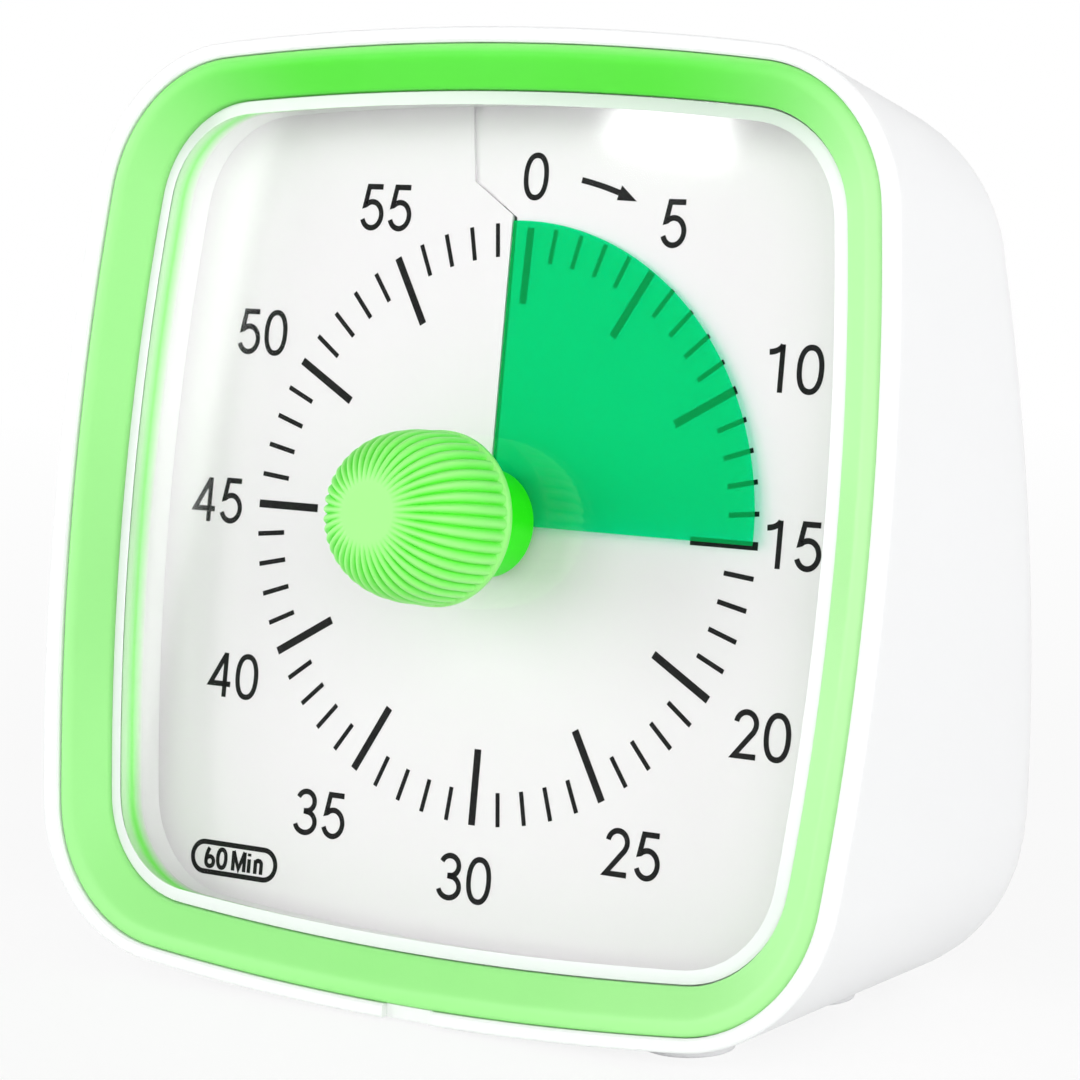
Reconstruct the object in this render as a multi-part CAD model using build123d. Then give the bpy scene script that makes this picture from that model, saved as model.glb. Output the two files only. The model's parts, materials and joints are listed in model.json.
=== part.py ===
from build123d import *
import math
import os

# A visual countdown timer: a leaning white housing with a green bezel, a clear lens and a
# printed dial. A green film winds out through a slit in the dial card as the knob is turned.
# Everything is built in the dial's own frame, in millimetres: X to the right, Y up the dial,
# Z out of the dial towards the user, with Z = 0 on the front of the dial card. At the end
# the whole timer is stood on its feet, with +Z up and the face towards -Y.

# ---- stance and housing
lean = 9.0                 # how far the face leans back, degrees
back_slant = 16.1          # angle between the back wall and the dial, degrees
lip_height = 8.58          # front edge of the housing, in front of the dial
back_depth = 28.6          # back wall's outer face, behind the dial's centre
housing_half_width = 42.98
housing_top = 41.86
housing_bottom = 42.64
housing_side_bulge = 239.0
housing_end_bulge = 283.0
housing_corner = 14.9
back_taper = 2.12          # back wall's sides, in from the front's
back_top_taper = 1.86
back_side_bulge = 222.0
back_end_bulge = 730.0
back_corner = 15.1
back_round = 12.0          # soft edge round the back wall
lip_side = 1.76            # width of the housing's front edge at the sides
lip_top = 1.34
lip_bottom = 1.24
mouth_depth = 1.8          # straight stretch of the mouth, where the bezel sits
mouth_corner = 13.3
wall = 2.0
overrun = 1.0              # how far a cutting shape runs past a face
notch_width = 4.9          # pry notch in the lower front edge
notch_offset = 0.8
notch_depth = 0.7
notch_reach = 1.3

# ---- bezel, lens and dial tray
bezel_gap = 0.12
bezel_edge_height = 8.4    # bezel's outer front edge
bezel_flat = 1.7           # flat part of the bezel's front, from its outer edge
bezel_inner_height = 6.45  # bezel's inner front edge
bezel_underside = 5.6
bezel_skirt_inset = 0.8
bezel_skirt_wall = 0.8
bezel_skirt_end = 3.0
bezel_edge_round = 0.5
bezel_side = 4.3           # bezel's width, outer edge to window
bezel_top = 3.95
bezel_bottom = 4.13
window_side_bulge = 230.0
window_end_bulge = 312.0
window_corner = 10.0
lens_front = 6.0
lens_thickness = 1.2
lens_gap = 0.15            # round the raised lens face, inside the bezel
lens_bevel = 0.5           # drop of the slanted edge
lens_bevel_width = 1.0
lens_flange_width = 0.9
lens_flange_thickness = 0.8
lens_skirt_wall = 1.0
lens_skirt_end = 2.6
lens_skirt_gap = 0.2
tray_wall_inset = 0.5      # tray's inner wall, outside the window's edge
tray_wall = 1.2
tray_floor = 2.5
tray_gap = 0.1             # lens flange to the tray's rebate
tray_top_gap = 0.1

# ---- dial card and film
card_thickness = 0.3
card_gap = 0.15
slit_width = 0.6
slit_offset = -1.0
slit_turn_radius = 26.8
slit_knee = (-5.3, 29.6)
slit_end_shift = -1.0      # from the knee to the card's top edge, sideways
film_radius = 26.5
film_thickness = 0.16
film_lift = 0.95           # film's underside above the card
film_drop = 0.85           # hidden film's underside below the card's front
film_well_depth = 1.3      # recess in the tray behind the hidden film
film_well_gap = 1.2
film_angle = 90.0          # what is shown at rest: 15 minutes
film_end_gap = 3.0         # between the film's two ends, degrees
film_riser = 0.16

# ---- knob
shaft_radius = 1.5
shaft_flat = 1.15          # from the axis to the flat of the D
shaft_tip = 14.4
hub_neck_radius = 4.68
hub_neck_start = 1.25
hub_top = 15.0
hub_spindle_radius = 2.4
hub_end = -1.15
hub_clearance = 0.4        # neck to the lens's hole
spindle_clearance = 1.0    # spindle to the card's hole
knob_front = 19.1
knob_disc_radius = 2.6
knob_shoulder = 12.5       # height where the dome meets the straight side
knob_radius = 7.35
knob_rim_radius = 7.49
knob_rim_start = 8.7
knob_rim_width = 0.75
rib_count = 42
rib_height = 0.34
rib_share = 0.5            # rib's share of its pitch
knob_cavity_radius = 6.1
knob_cavity_depth = 3.6

# ---- movement
case_half = 23.5
case_corner = 4.0
case_depth = 11.2
case_wall = 1.1
case_split = 5.0           # front half's depth
case_front_plate = 1.1
pivot_radius = 0.45
pivot_clearance = 0.03
pivot_seat = 0.7           # how far a pivot reaches into its plate
tooth_thinning = 0.2       # of the module
addendum = 0.9
dedendum = 1.3
pressure_angle = 20.0
pinion_teeth = 8
pinion_length = 1.6
wheel_thickness = 0.7
centre_teeth = 60
third_teeth = 64
second_teeth = 40
intermediate_teeth = 48
centre_module = 0.32
third_module = 0.25
second_module = 0.25
intermediate_module = 0.2
third_direction = 60.0     # where each arbor lies from the one before, degrees
second_direction = 150.0
intermediate_direction = 200.0
rotor_direction = 215.0
centre_level = 2.0         # wheel's front face behind the case front
level_step = 1.9
centre_bore_clearance = 0.05
centre_hub_radius = 2.2
centre_hub_length = 1.4
rotor_radius = 1.6
rotor_length = 2.2
rotor_gap = 0.45
arbor_shoulder = 0.25      # arbor's radius beyond its pivots'
shaft_pivot_radius = 0.9
stator_thickness = 0.8
stator_ring = 1.4
coil_offset = -18.5
coil_low = -12.0
coil_high = 4.0
coil_radius = 2.9
coil_flange_radius = 3.3
coil_flange = 0.7
core_half_width = 1.0
stator_arm_gap = 0.4
cam_radius = 2.6
cam_lobe_radius = 4.0
cam_lobe_half = 12.0       # degrees
cam_thickness = 0.8
cam_to_rear = 0.35
clutch_radius = 2.2
clutch_thickness = 0.5
clutch_gap = 0.05
movement_board_half = 16.6
movement_board_height = 8.0
movement_board_thickness = 1.0
movement_board_stand = 0.6
movement_board_low = -21.4
chip_size = 5.0
chip_height = 1.1
chip_round = 0.88
crystal_length = 6.0
crystal_radius = 1.0
leaf_thickness = 0.2
leaf_height = 2.6
leaf_gap = 0.3
leaf_spacing = 0.9
leaf_length = 11.0
leaf_fold = 1.2            # folded end of a leaf
movement_screw_offset = 20.0
movement_screw_radius = 1.1
movement_screw_head = 2.0
movement_screw_head_height = 1.0
movement_post_radius = 3.0
movement_screw_length = 2.0

# ---- battery
battery_radius = 7.25
battery_length = 49.2
battery_nub_radius = 2.7
battery_nub = 1.3
battery_edge_round = 0.6
battery_centre = -13.0     # up the dial
battery_side_gap = 0.45
battery_door_gap = 0.4
spring_room = 3.0
contact_thickness = 0.4
contact_inset = 1.0        # contact plate's edge, inside the cell's radius
tray_box_wall = 1.0
spring_wire = 0.3
spring_turns = 2.5
spring_radius = 3.0
tab_half_width = 1.2
tab_gap = 0.2
tab_reach = 0.6            # contact tab, past the tray's front
door_thickness = 1.6
door_half_length = 28.4
door_half_height = 9.6
door_gap = 0.3
door_ledge = 1.6
door_pin_radius = 0.6
door_pin_clearance = 0.05
door_pin_reach = 1.0
door_tab_half = 5.0
door_tab_depth = 0.6
door_ridges = 3
door_ridge_pitch = 1.4
door_ridge_width = 0.6
door_ridge_start = 3.2
door_ridge_depth = 0.3

# ---- alarm board at the back
board_half_width = 19.0
board_low = 0.5            # along the back wall, above its middle
board_high = 18.5
board_thickness = 1.2
board_stand = 4.4          # board's rear face inside the back wall's inner face
boss_radius = 2.6
pilot_radius = 0.8
board_screw_head = 1.9
board_screw_head_height = 1.1
board_screw_length = 4.4
switch_place = (-9.0, 9.5)
switch_floor = 1.0         # frame's thickness behind the slider
switch_half_length = 4.4
switch_half_height = 1.9
slider_half = 1.3
slider_travel = 2.0
slider_gap = 0.15
slider_proud = 1.1
slider_ridge = 0.4
slider_ridge_pitch = 0.8
slider_foot = 0.6          # thickness of the slider's retaining flange
slider_foot_half = 2.3
slider_ridges = 3
slot_recess = 0.7
slot_margin = 1.0          # recess round the slot
buzzer_place = (9.0, 9.5)
buzzer_radius = 6.0
buzzer_height = 3.8
buzzer_hole = 1.1
buzzer_floor = 2.0
grille_hole = 0.75
grille_rings = 2
grille_pitch = 2.087
alarm_chip_place = (0.0, 6.0)
alarm_chip_size = (6.0, 4.0, 1.2)

# ---- screws, bosses and feet
case_screw_x = 27.6
case_screw_high = 24.0
case_screw_low = -27.5
case_screw_radius = 1.3
case_screw_head = 2.4
case_screw_head_height = 1.6
case_screw_length = 9.0
screw_slot = 0.6           # width of the cross recesses
screw_slot_margin = 0.6    # from a cross recess's end to the head's edge
screw_slot_depth = 0.55
case_boss_radius = 3.7
case_screw_grip = 4.0      # plastic under the screw head
case_boss_meet = -9.0
case_boss_gap = 0.05
screw_clearance = 0.25
foot_radius = 4.0
foot_gap = 0.1
foot_x = 24.0
foot_front = 8.0           # behind the front edge
foot_back = 28.0
foot_proud = 0.3
foot_height = 2.0

# ---- wires
wire_radius = 0.45
wire_bend = 1.3
wire_hole_gap = 0.2
battery_wire_y = -16.3
buzzer_wires_y = (-13.9, -15.1)
buzzer_wires_start = (7.0, 4.0)    # along the back wall
buzzer_wires_out = (1.8, 3.4)      # outside the movement's case


class Outline:
    """A rounded square with bulging sides, made of eight tangent arcs."""

    def __init__(self, half_width, top, bottom, side_bulge, end_bulge, corner):
        self.half_width = half_width
        self.top = top
        self.bottom = bottom
        self.side_bulge = side_bulge
        self.end_bulge = end_bulge
        self.corner = corner

    def inset(self, amount):
        """The parallel outline, amount further in."""
        return Outline(
            self.half_width - amount,
            self.top - amount,
            self.bottom - amount,
            self.side_bulge - amount,
            self.end_bulge - amount,
            self.corner - amount,
        )

    def corner_centre(self, end):
        """Centre of the corner arc that joins the side to the top or bottom."""
        side = Vector(self.half_width - self.side_bulge, 0)
        cap = Vector(0, end - self.end_bulge)
        reach_side = self.side_bulge - self.corner
        reach_cap = self.end_bulge - self.corner
        span = cap - side
        along = (reach_side**2 - reach_cap**2 + span.length**2) / (2 * span.length)
        across = math.sqrt(reach_side**2 - along**2)
        way = span.normalized()
        return side + way * along + Vector(-way.Y, way.X) * across

    def quarter_angles(self, end):
        """Angles at which the corner arc meets the side arc and the end arc."""
        centre = self.corner_centre(end)
        low = math.degrees(math.atan2(centre.Y, centre.X - self.half_width + self.side_bulge))
        high = math.degrees(math.atan2(centre.Y - end + self.end_bulge, centre.X))
        return centre, low, high

    def face(self, plane=Plane.XY):
        """The filled outline on a plane."""
        upper, upper_low, upper_high = self.quarter_angles(self.top)
        lower, lower_low, lower_high = self.quarter_angles(self.bottom)
        middle = self.half_width - self.side_bulge
        arcs = [
            ((middle, 0), self.side_bulge, -lower_low, upper_low),
            ((upper.X, upper.Y), self.corner, upper_low, upper_high),
            ((0, self.top - self.end_bulge), self.end_bulge, upper_high, 180 - upper_high),
            ((-upper.X, upper.Y), self.corner, 180 - upper_high, 180 - upper_low),
            ((-middle, 0), self.side_bulge, 180 - upper_low, 180 + lower_low),
            ((-lower.X, -lower.Y), self.corner, 180 + lower_low, 180 + lower_high),
            ((0, self.end_bulge - self.bottom), self.end_bulge, 180 + lower_high, 360 - lower_high),
            ((lower.X, -lower.Y), self.corner, 360 - lower_high, 360 - lower_low),
        ]
        edges = [CenterArc(centre, radius, start, end - start) for centre, radius, start, end in arcs]
        return plane * Face(Wire(edges))

    def solid(self, low, high):
        """The outline as a straight block between two heights."""
        return extrude(self.face(Plane.XY.offset(low)), high - low)


def ring(outer, inner, low, high):
    """A band between two outlines."""
    return outer.solid(low, high) - inner.solid(low, high)


def disc(radius, low, high, x=0.0, y=0.0):
    """A round block between two heights."""
    return Pos(x, y, (low + high) / 2) * Cylinder(radius, high - low)


def block(x_low, x_high, y_low, y_high, low, high):
    """A square block between corners."""
    centre = Pos((x_low + x_high) / 2, (y_low + y_high) / 2, (low + high) / 2)
    return centre * Box(x_high - x_low, y_high - y_low, high - low)


# ---- shared planes and outlines
up_y = math.cos(math.radians(lean))
up_z = math.sin(math.radians(lean))
slant_tan = math.tan(math.radians(back_slant))
slant_cos = math.cos(math.radians(back_slant))
slant_sin = math.sin(math.radians(back_slant))
floor_plane = Plane(
    origin=(0, -housing_bottom - foot_proud * up_y, lip_height - foot_proud * up_z),
    x_dir=(1, 0, 0),
    z_dir=(0, up_y, up_z),
)
back_plane = Plane(
    origin=(0, 0, -back_depth), x_dir=(1, 0, 0), z_dir=(0, -slant_sin, slant_cos)
)
base_run = (lip_height + back_depth + housing_bottom * slant_tan) / (up_y + up_z * slant_tan)
back_bottom = (housing_bottom - base_run * up_z) / slant_cos

housing_front = Outline(
    housing_half_width,
    housing_top,
    housing_bottom,
    housing_side_bulge,
    housing_end_bulge,
    housing_corner,
)
housing_back = Outline(
    housing_half_width - back_taper,
    housing_top - back_top_taper,
    back_bottom,
    back_side_bulge,
    back_end_bulge,
    back_corner,
)
mouth = Outline(
    housing_half_width - lip_side,
    housing_top - lip_top,
    housing_bottom - lip_bottom,
    housing_side_bulge,
    housing_end_bulge,
    mouth_corner,
)
bezel_outer = mouth.inset(bezel_gap)
window = Outline(
    bezel_outer.half_width - bezel_side,
    bezel_outer.top - bezel_top,
    bezel_outer.bottom - bezel_bottom,
    window_side_bulge,
    window_end_bulge,
    window_corner,
)
tray_inner = window.inset(-tray_wall_inset)
tray_outer = tray_inner.inset(-tray_wall)
lens_rear = lens_front - lens_thickness
lens_ledge = bezel_underside - lens_flange_thickness
tray_back = -card_thickness - tray_floor
case_back = tray_back - case_depth
case_inner_front = tray_back - case_front_plate
case_inner_back = case_back + case_wall
movement_board_face = case_inner_back + movement_board_stand + movement_board_thickness
wire_level = movement_board_face - movement_board_thickness / 2
wire_holes = [(1, height) for height in (battery_wire_y, *buzzer_wires_y)] + [(-1, battery_wire_y)]


def hollow():
    """The space inside the housing."""
    seat = lip_height - mouth_depth
    inner_back = Plane(back_plane.origin + back_plane.z_dir * wall, (1, 0, 0), back_plane.z_dir)
    room = loft([mouth.face(Plane.XY.offset(seat)), housing_back.inset(wall).face(inner_back)], ruled=True)
    back_edges = room.faces().sort_by(Axis.Z)[0].edges()
    room = fillet(back_edges, back_round - wall)
    return room + mouth.solid(seat, lip_height + overrun)


def housing_block():
    """The housing's outside as one solid."""
    shape = loft([housing_front.face(Plane.XY.offset(lip_height)), housing_back.face(back_plane)], ruled=True)
    back_edges = shape.faces().sort_by(Axis.Z)[0].edges()
    return fillet(back_edges, back_round)


inside = hollow()
outside = housing_block()


def back_height(y):
    """Height of the back wall's outer face at a place up the dial."""
    return y * slant_tan - back_depth


# ---- places on the back wall: X across, Y up the wall, Z into the timer
battery_wall_y = battery_centre / slant_cos
battery_depth = (door_thickness + battery_door_gap + battery_radius) / slant_cos
battery_height = back_height(battery_centre) + battery_depth
battery_x = (spring_room - battery_nub) / 2
bay_half = (battery_length + battery_nub + spring_room) / 2 + contact_thickness
bay_half_height = battery_radius + battery_side_gap
bay_front = battery_height + battery_radius + battery_side_gap / 2
tab_tip = bay_front + tray_box_wall + tab_reach
door_low = battery_wall_y - door_half_height
door_axis = Vector(0, door_low + door_thickness / 2, door_thickness / 2)
board_rear = wall + board_stand
case_screw_places = [
    (side * case_screw_x, height) for side in (-1, 1) for height in (case_screw_low, case_screw_high)
]
board_screw_places = [
    (side * (board_half_width - boss_radius), board_high - boss_radius) for side in (-1, 1)
]
foot_places = [(side * foot_x, back) for side in (-1, 1) for back in (foot_front, foot_back)]


def on_back(shape):
    """Moves a shape from the back wall's own places to the dial's frame."""
    return back_plane * shape


screw_seat = case_boss_meet - case_screw_grip
case_screw_core = case_screw_radius - screw_clearance
movement_screw_core = movement_screw_radius - screw_clearance


# ---- housing
def door_opening(gap):
    """The door's place in the back wall, with a gap all round."""
    return block(
        -door_half_length - gap,
        door_half_length + gap,
        battery_wall_y - door_half_height - gap,
        battery_wall_y + door_half_height + gap,
        -wall,
        door_thickness + gap,
    )


def grille_holes():
    """Sound holes over the buzzer: one in the middle and six to a ring."""
    x, y = buzzer_place
    hole = disc(grille_hole, -overrun, wall + overrun)
    holes = [Pos(x, y) * hole]
    for turn in range(1, grille_rings + 1):
        holes += [Pos(x, y) * place * hole for place in PolarLocations(grille_pitch * turn, 6 * turn)]
    return holes


def housing():
    """The deep white shell, its bosses, and the openings in its back."""
    shell = outside - inside
    for x, y in case_screw_places:
        post = disc(case_boss_radius, back_height(y) - back_round, case_boss_meet - case_boss_gap, x, y)
        shell += post & inside
    for x, y in board_screw_places:
        shell += on_back(disc(boss_radius, wall, board_rear, x, y)) & inside
    ledge = on_back(door_frame())
    shell += ledge & inside
    for x, y in case_screw_places:
        shell -= disc(case_screw_head + screw_clearance, back_height(y) - back_round, screw_seat, x, y)
        shell -= disc(case_screw_radius + screw_clearance, screw_seat - overrun, 0, x, y)
    for x, y in board_screw_places:
        shell -= on_back(disc(pilot_radius, wall, board_rear + overrun, x, y))
    shell -= on_back(door_opening(door_gap))
    shell -= on_back(bay_mouth())
    shell -= on_back(pin_holes())
    shell -= on_back(switch_slot())
    for hole in grille_holes():
        shell -= on_back(hole)
    for x, back in foot_places:
        shell -= floor_plane * disc(foot_radius + foot_gap, -overrun, foot_height, x, back)
    return shell - pry_notch()


def door_frame():
    """A thicker frame round the battery opening that the door closes on."""
    return block(
        -door_half_length - door_ledge,
        door_half_length + door_ledge,
        door_low - door_ledge,
        battery_wall_y + door_half_height + door_ledge,
        wall,
        door_thickness + door_gap + door_ledge,
    )


def bay_mouth():
    """The opening that the battery goes in through."""
    return block(
        -bay_half,
        bay_half,
        battery_wall_y - bay_half_height,
        battery_wall_y + bay_half_height,
        0,
        door_thickness + door_gap + door_ledge + overrun,
    )


def pin_holes():
    """Bearings for the door's two pins."""
    reach = door_half_length + door_pin_reach + door_gap
    turn = Pos(door_axis.X, door_axis.Y, door_axis.Z) * Rot(0, 90, 0)
    return turn * Cylinder(door_pin_radius + door_pin_clearance, 2 * reach)


def switch_slot():
    """Shallow finger recess with the slider's slot through its floor."""
    x, y = switch_place
    half = slider_travel + slider_half + slider_gap
    high = slider_half + slider_gap
    wide = half + slot_margin
    tall = high + slot_margin
    recess = block(x - wide, x + wide, y - tall, y + tall, -overrun, slot_recess)
    return recess + block(x - half, x + half, y - high, y + high, -overrun, wall + overrun)


def pry_notch():
    """Small step in the lower front edge, for levering the bezel out."""
    middle = Pos(notch_offset, -housing_bottom, lip_height)
    return middle * Box(notch_width, 2 * notch_reach, 2 * notch_depth)


# ---- bezel, lens, tray and card
def bezel_ring():
    """Green ring: a flat outer band, then a slope down to the window."""
    blank = bezel_outer.solid(bezel_underside, bezel_edge_height)
    blank = fillet(blank.faces().sort_by(Axis.Z)[-1].edges(), bezel_edge_round)
    body = blank - window.solid(bezel_underside, bezel_edge_height)
    crown = bezel_outer.inset(bezel_flat)
    slope = loft(
        [
            window.face(Plane.XY.offset(bezel_inner_height)),
            crown.face(Plane.XY.offset(bezel_edge_height)),
        ],
        ruled=True,
    )
    body -= slope
    step = bezel_outer.inset(bezel_skirt_inset)
    seat = lip_height - mouth_depth
    body -= ring(bezel_outer.inset(-overrun), step, bezel_underside - overrun, seat)
    return body + ring(step, step.inset(bezel_skirt_wall), bezel_skirt_end, bezel_underside)


def lens():
    """Clear cover: raised face, hidden flange, short skirt and the knob's hole."""
    raised = window.inset(lens_gap)
    face = raised.solid(lens_rear, lens_front)
    face = chamfer(face.faces().sort_by(Axis.Z)[-1].edges(), lens_bevel, lens_bevel_width)
    flange = window.inset(-lens_flange_width - lens_gap).inset(tray_gap)
    body = face + flange.solid(lens_ledge, bezel_underside)
    skirt = tray_inner.inset(lens_skirt_gap)
    body += ring(skirt, skirt.inset(lens_skirt_wall), lens_skirt_end, lens_ledge)
    return body - disc(hub_neck_radius + hub_clearance, 0, lens_front + overrun)


def dial_tray():
    """White tray: floor behind the card, walls round the window, bosses behind."""
    body = tray_outer.solid(tray_back, bezel_underside - tray_top_gap)
    body -= tray_inner.solid(-card_thickness, lip_height)
    rebate = window.inset(-lens_flange_width - lens_gap)
    body -= rebate.solid(lens_ledge, lip_height)
    body -= disc(film_radius + film_well_gap, -card_thickness - film_well_depth, 0)
    body -= disc(shaft_radius + spindle_clearance, tray_back - overrun, 0)
    for x, y in case_screw_places:
        body += disc(case_boss_radius, case_boss_meet, tray_back, x, y)
        body -= disc(case_screw_core, case_boss_meet - overrun, tray_back + overrun, x, y)
    for x, y in movement_screw_places():
        body -= disc(movement_screw_core, tray_back - overrun, tray_back + movement_screw_length, x, y)
    return body


def slit_outline():
    """The dial card's slit: straight beside the axis, then slanting up to the edge."""
    half = slit_width / 2
    knee_x, knee_y = slit_knee
    top = housing_top
    end_x = knee_x + slit_end_shift
    right = [(slit_offset + half, 0), (slit_offset + half, slit_turn_radius - half)]
    right += [(knee_x + half, knee_y), (end_x + half, top)]
    left = [(end_x - half, top), (knee_x - half, knee_y)]
    left += [(slit_offset - half, slit_turn_radius), (slit_offset - half, 0)]
    return Polygon(*right, *left, align=None)


def dial_card():
    """Thin white card with the film's slit and the spindle's hole."""
    card = tray_inner.inset(card_gap).solid(-card_thickness, 0)
    card -= disc(hub_spindle_radius + spindle_clearance, -card_thickness, overrun)
    return card - extrude(Plane.XY.offset(-card_thickness) * slit_outline(), card_thickness + overrun)


# ---- knob, hub and film
def sector(radius, hole, start, size, low, high):
    """A flat ring sector; start and size in degrees, anticlockwise from the front."""
    outer = math.radians(size)
    middle = math.radians(start + size / 2)
    begin = math.radians(start)
    finish = begin + outer
    corners = [
        (hole * math.cos(begin), hole * math.sin(begin)),
        (radius * math.cos(begin), radius * math.sin(begin)),
        (radius * math.cos(middle), radius * math.sin(middle)),
        (radius * math.cos(finish), radius * math.sin(finish)),
        (hole * math.cos(finish), hole * math.sin(finish)),
        (hole * math.cos(middle), hole * math.sin(middle)),
    ]
    edges = [
        Line(corners[0], corners[1]),
        ThreePointArc(corners[1], corners[2], corners[3]),
        Line(corners[3], corners[4]),
        ThreePointArc(corners[4], corners[5], corners[0]),
    ]
    return extrude(Plane.XY.offset(low) * Face(Wire(edges)), high - low)


def time_film():
    """Green film: the part in front of the card, the part behind it, and the riser between."""
    hole = hub_spindle_radius
    hidden_low = -film_drop
    shown = sector(film_radius, hole, 90 - film_angle, film_angle, film_lift, film_lift + film_thickness)
    left = block(slit_offset, 0, hole, film_radius - film_thickness, film_lift, film_lift + film_thickness)
    size = 360 - film_angle - film_end_gap
    hidden = sector(film_radius, hole, 90, size, hidden_low, hidden_low + film_thickness)
    half = film_riser / 2
    riser_low = hidden_low
    riser_high = film_lift + film_thickness
    riser = block(
        slit_offset - half, slit_offset + half, hole, film_radius - film_thickness, riser_low, riser_high
    )
    return shown + left + hidden + riser


def film_hub():
    """Saturated green neck: the film is fixed to its spindle, the cap is pressed on its top."""
    body = disc(hub_neck_radius, hub_neck_start, hub_top)
    body += disc(hub_spindle_radius, hub_end, hub_neck_start)
    return body - shaft_section(hub_end - overrun, shaft_tip)


def shaft_section(low, high):
    """The shaft's D-shaped bar between two heights."""
    bar = disc(shaft_radius, low, high)
    return bar - block(-shaft_radius, shaft_radius, shaft_flat, 2 * shaft_radius, low, high)


def drive_shaft():
    """Shaft from the movement's rear plate up into the knob."""
    round_part = disc(shaft_radius, case_inner_back, hub_end)
    pivot = disc(shaft_pivot_radius, case_inner_back - pivot_seat, case_inner_back)
    return round_part + pivot + shaft_section(hub_end, shaft_tip)


def dome(shrink):
    """The cap's outside, smaller by a shrink, as a turned shape."""
    side = knob_radius - shrink
    top = knob_front - shrink
    low = knob_rim_start
    arc = EllipticalCenterArc(
        (knob_disc_radius, knob_shoulder),
        side - knob_disc_radius,
        top - knob_shoulder,
        start_angle=0,
        arc_size=90,
    )
    profile = [
        Line((0, low), (side, low)),
        Line((side, low), (side, knob_shoulder)),
        arc,
        Line((knob_disc_radius, top), (0, top)),
        Line((0, top), (0, low)),
    ]
    section = Plane.XZ * Face(Wire(profile))
    return revolve(section, Axis.Z)


def rib_wedges():
    """One wedge for each rib, round the whole cap."""
    pitch = 360.0 / rib_count
    wedges = []
    for step in range(rib_count):
        start = pitch * (step - rib_share / 2)
        wedges.append(
            sector(knob_rim_radius, knob_disc_radius, start, pitch * rib_share, knob_rim_start, knob_front)
        )
    return wedges


def knob_cap():
    """Domed cap with ribs that run from its front disc to a plain rim."""
    crest = dome(0)
    body = dome(rib_height)
    body += disc(knob_disc_radius, knob_rim_start, knob_front)
    for wedge in rib_wedges():
        body += crest & wedge
    body += disc(knob_rim_radius, knob_rim_start, knob_rim_start + knob_rim_width)
    body -= disc(knob_cavity_radius, knob_rim_start - overrun, knob_rim_start + knob_cavity_depth)
    return body - disc(hub_neck_radius, knob_rim_start - overrun, hub_top)


# ---- gear train
def involute(angle):
    """The involute function."""
    return math.tan(angle) - angle


def gear_face(module, teeth):
    """A spur gear's outline, with a tooth centred on the X axis."""
    pitch_radius = module * teeth / 2
    base = pitch_radius * math.cos(math.radians(pressure_angle))
    tip = pitch_radius + addendum * module
    root = pitch_radius - dedendum * module
    half = math.pi / (2 * teeth) - tooth_thinning * module / (2 * pitch_radius)
    lowest = max(base, root)
    points = []
    for tooth in range(teeth):
        middle = 2 * math.pi * tooth / teeth
        radii = [lowest, (lowest + tip) / 2, tip]
        spread = [
            half + involute(math.radians(pressure_angle)) - involute(math.acos(base / radius))
            for radius in radii
        ]
        flank = [(root, spread[0])] if root < lowest else []
        flank += list(zip(radii, spread))
        left = [(radius, middle - angle) for radius, angle in flank]
        right = [(radius, middle + angle) for radius, angle in reversed(flank)]
        points += [(radius * math.cos(a), radius * math.sin(a)) for radius, a in left + right]
    return Polygon(*points, align=None)


def gear(module, teeth, low, high, turn=0.0):
    """A spur gear between two heights, turned by an angle in degrees."""
    flat = Plane.XY.offset(low) * (Rot(0, 0, turn) * gear_face(module, teeth))
    return extrude(flat, high - low)


def step_from(start, module, wheel, pinion, direction):
    """The next arbor's place, one centre distance away."""
    reach = module * (wheel + pinion) / 2
    angle = math.radians(direction)
    return (start[0] + reach * math.cos(angle), start[1] + reach * math.sin(angle))


third_place = step_from((0, 0), centre_module, centre_teeth, pinion_teeth, third_direction)
second_place = step_from(third_place, third_module, third_teeth, pinion_teeth, second_direction)
intermediate_place = step_from(
    second_place, second_module, second_teeth, pinion_teeth, intermediate_direction
)
rotor_place = step_from(
    intermediate_place, intermediate_module, intermediate_teeth, pinion_teeth, rotor_direction
)
levels = [tray_back - centre_level - level_step * step for step in range(4)]


def wheel_turn(direction, teeth):
    """Turns a wheel so that a tooth points along a direction."""
    return direction % (360.0 / teeth)


def pinion_turn(direction):
    """Turns a pinion so that a gap faces back along a direction."""
    return direction + 180.0 + 180.0 / pinion_teeth


def arbor(place):
    """A spindle from plate to plate with its two pivots."""
    x, y = place
    low = case_inner_back + pivot_clearance
    high = case_inner_front - pivot_clearance
    bar = disc(pivot_radius + arbor_shoulder, low, high, x, y)
    return bar + disc(pivot_radius, low - pivot_seat, high + pivot_seat, x, y)


def train_wheel(place, module, teeth, level, direction, pinion_module, pinion_level, pinion_direction):
    """A wheel and its pinion on one arbor."""
    x, y = place
    wheel = gear(module, teeth, level - wheel_thickness, level, wheel_turn(direction, teeth))
    overhang = (pinion_length - wheel_thickness) / 2
    pinion = gear(
        pinion_module,
        pinion_teeth,
        pinion_level - wheel_thickness - overhang,
        pinion_level + overhang,
        pinion_turn(pinion_direction),
    )
    return Pos(x, y, 0) * (wheel + pinion) + arbor(place)


def centre_wheel():
    """Wheel that drives the shaft through its friction clutch."""
    top = levels[0]
    rear = top - wheel_thickness
    body = gear(centre_module, centre_teeth, rear, top, wheel_turn(third_direction, centre_teeth))
    body += disc(centre_hub_radius, rear - centre_hub_length, rear)
    return body - disc(shaft_radius + centre_bore_clearance, top - case_depth, top + overrun)


def third_wheel():
    """Eight-minute wheel."""
    return train_wheel(
        third_place,
        third_module,
        third_teeth,
        levels[1],
        second_direction,
        centre_module,
        levels[0],
        third_direction,
    )


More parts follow.
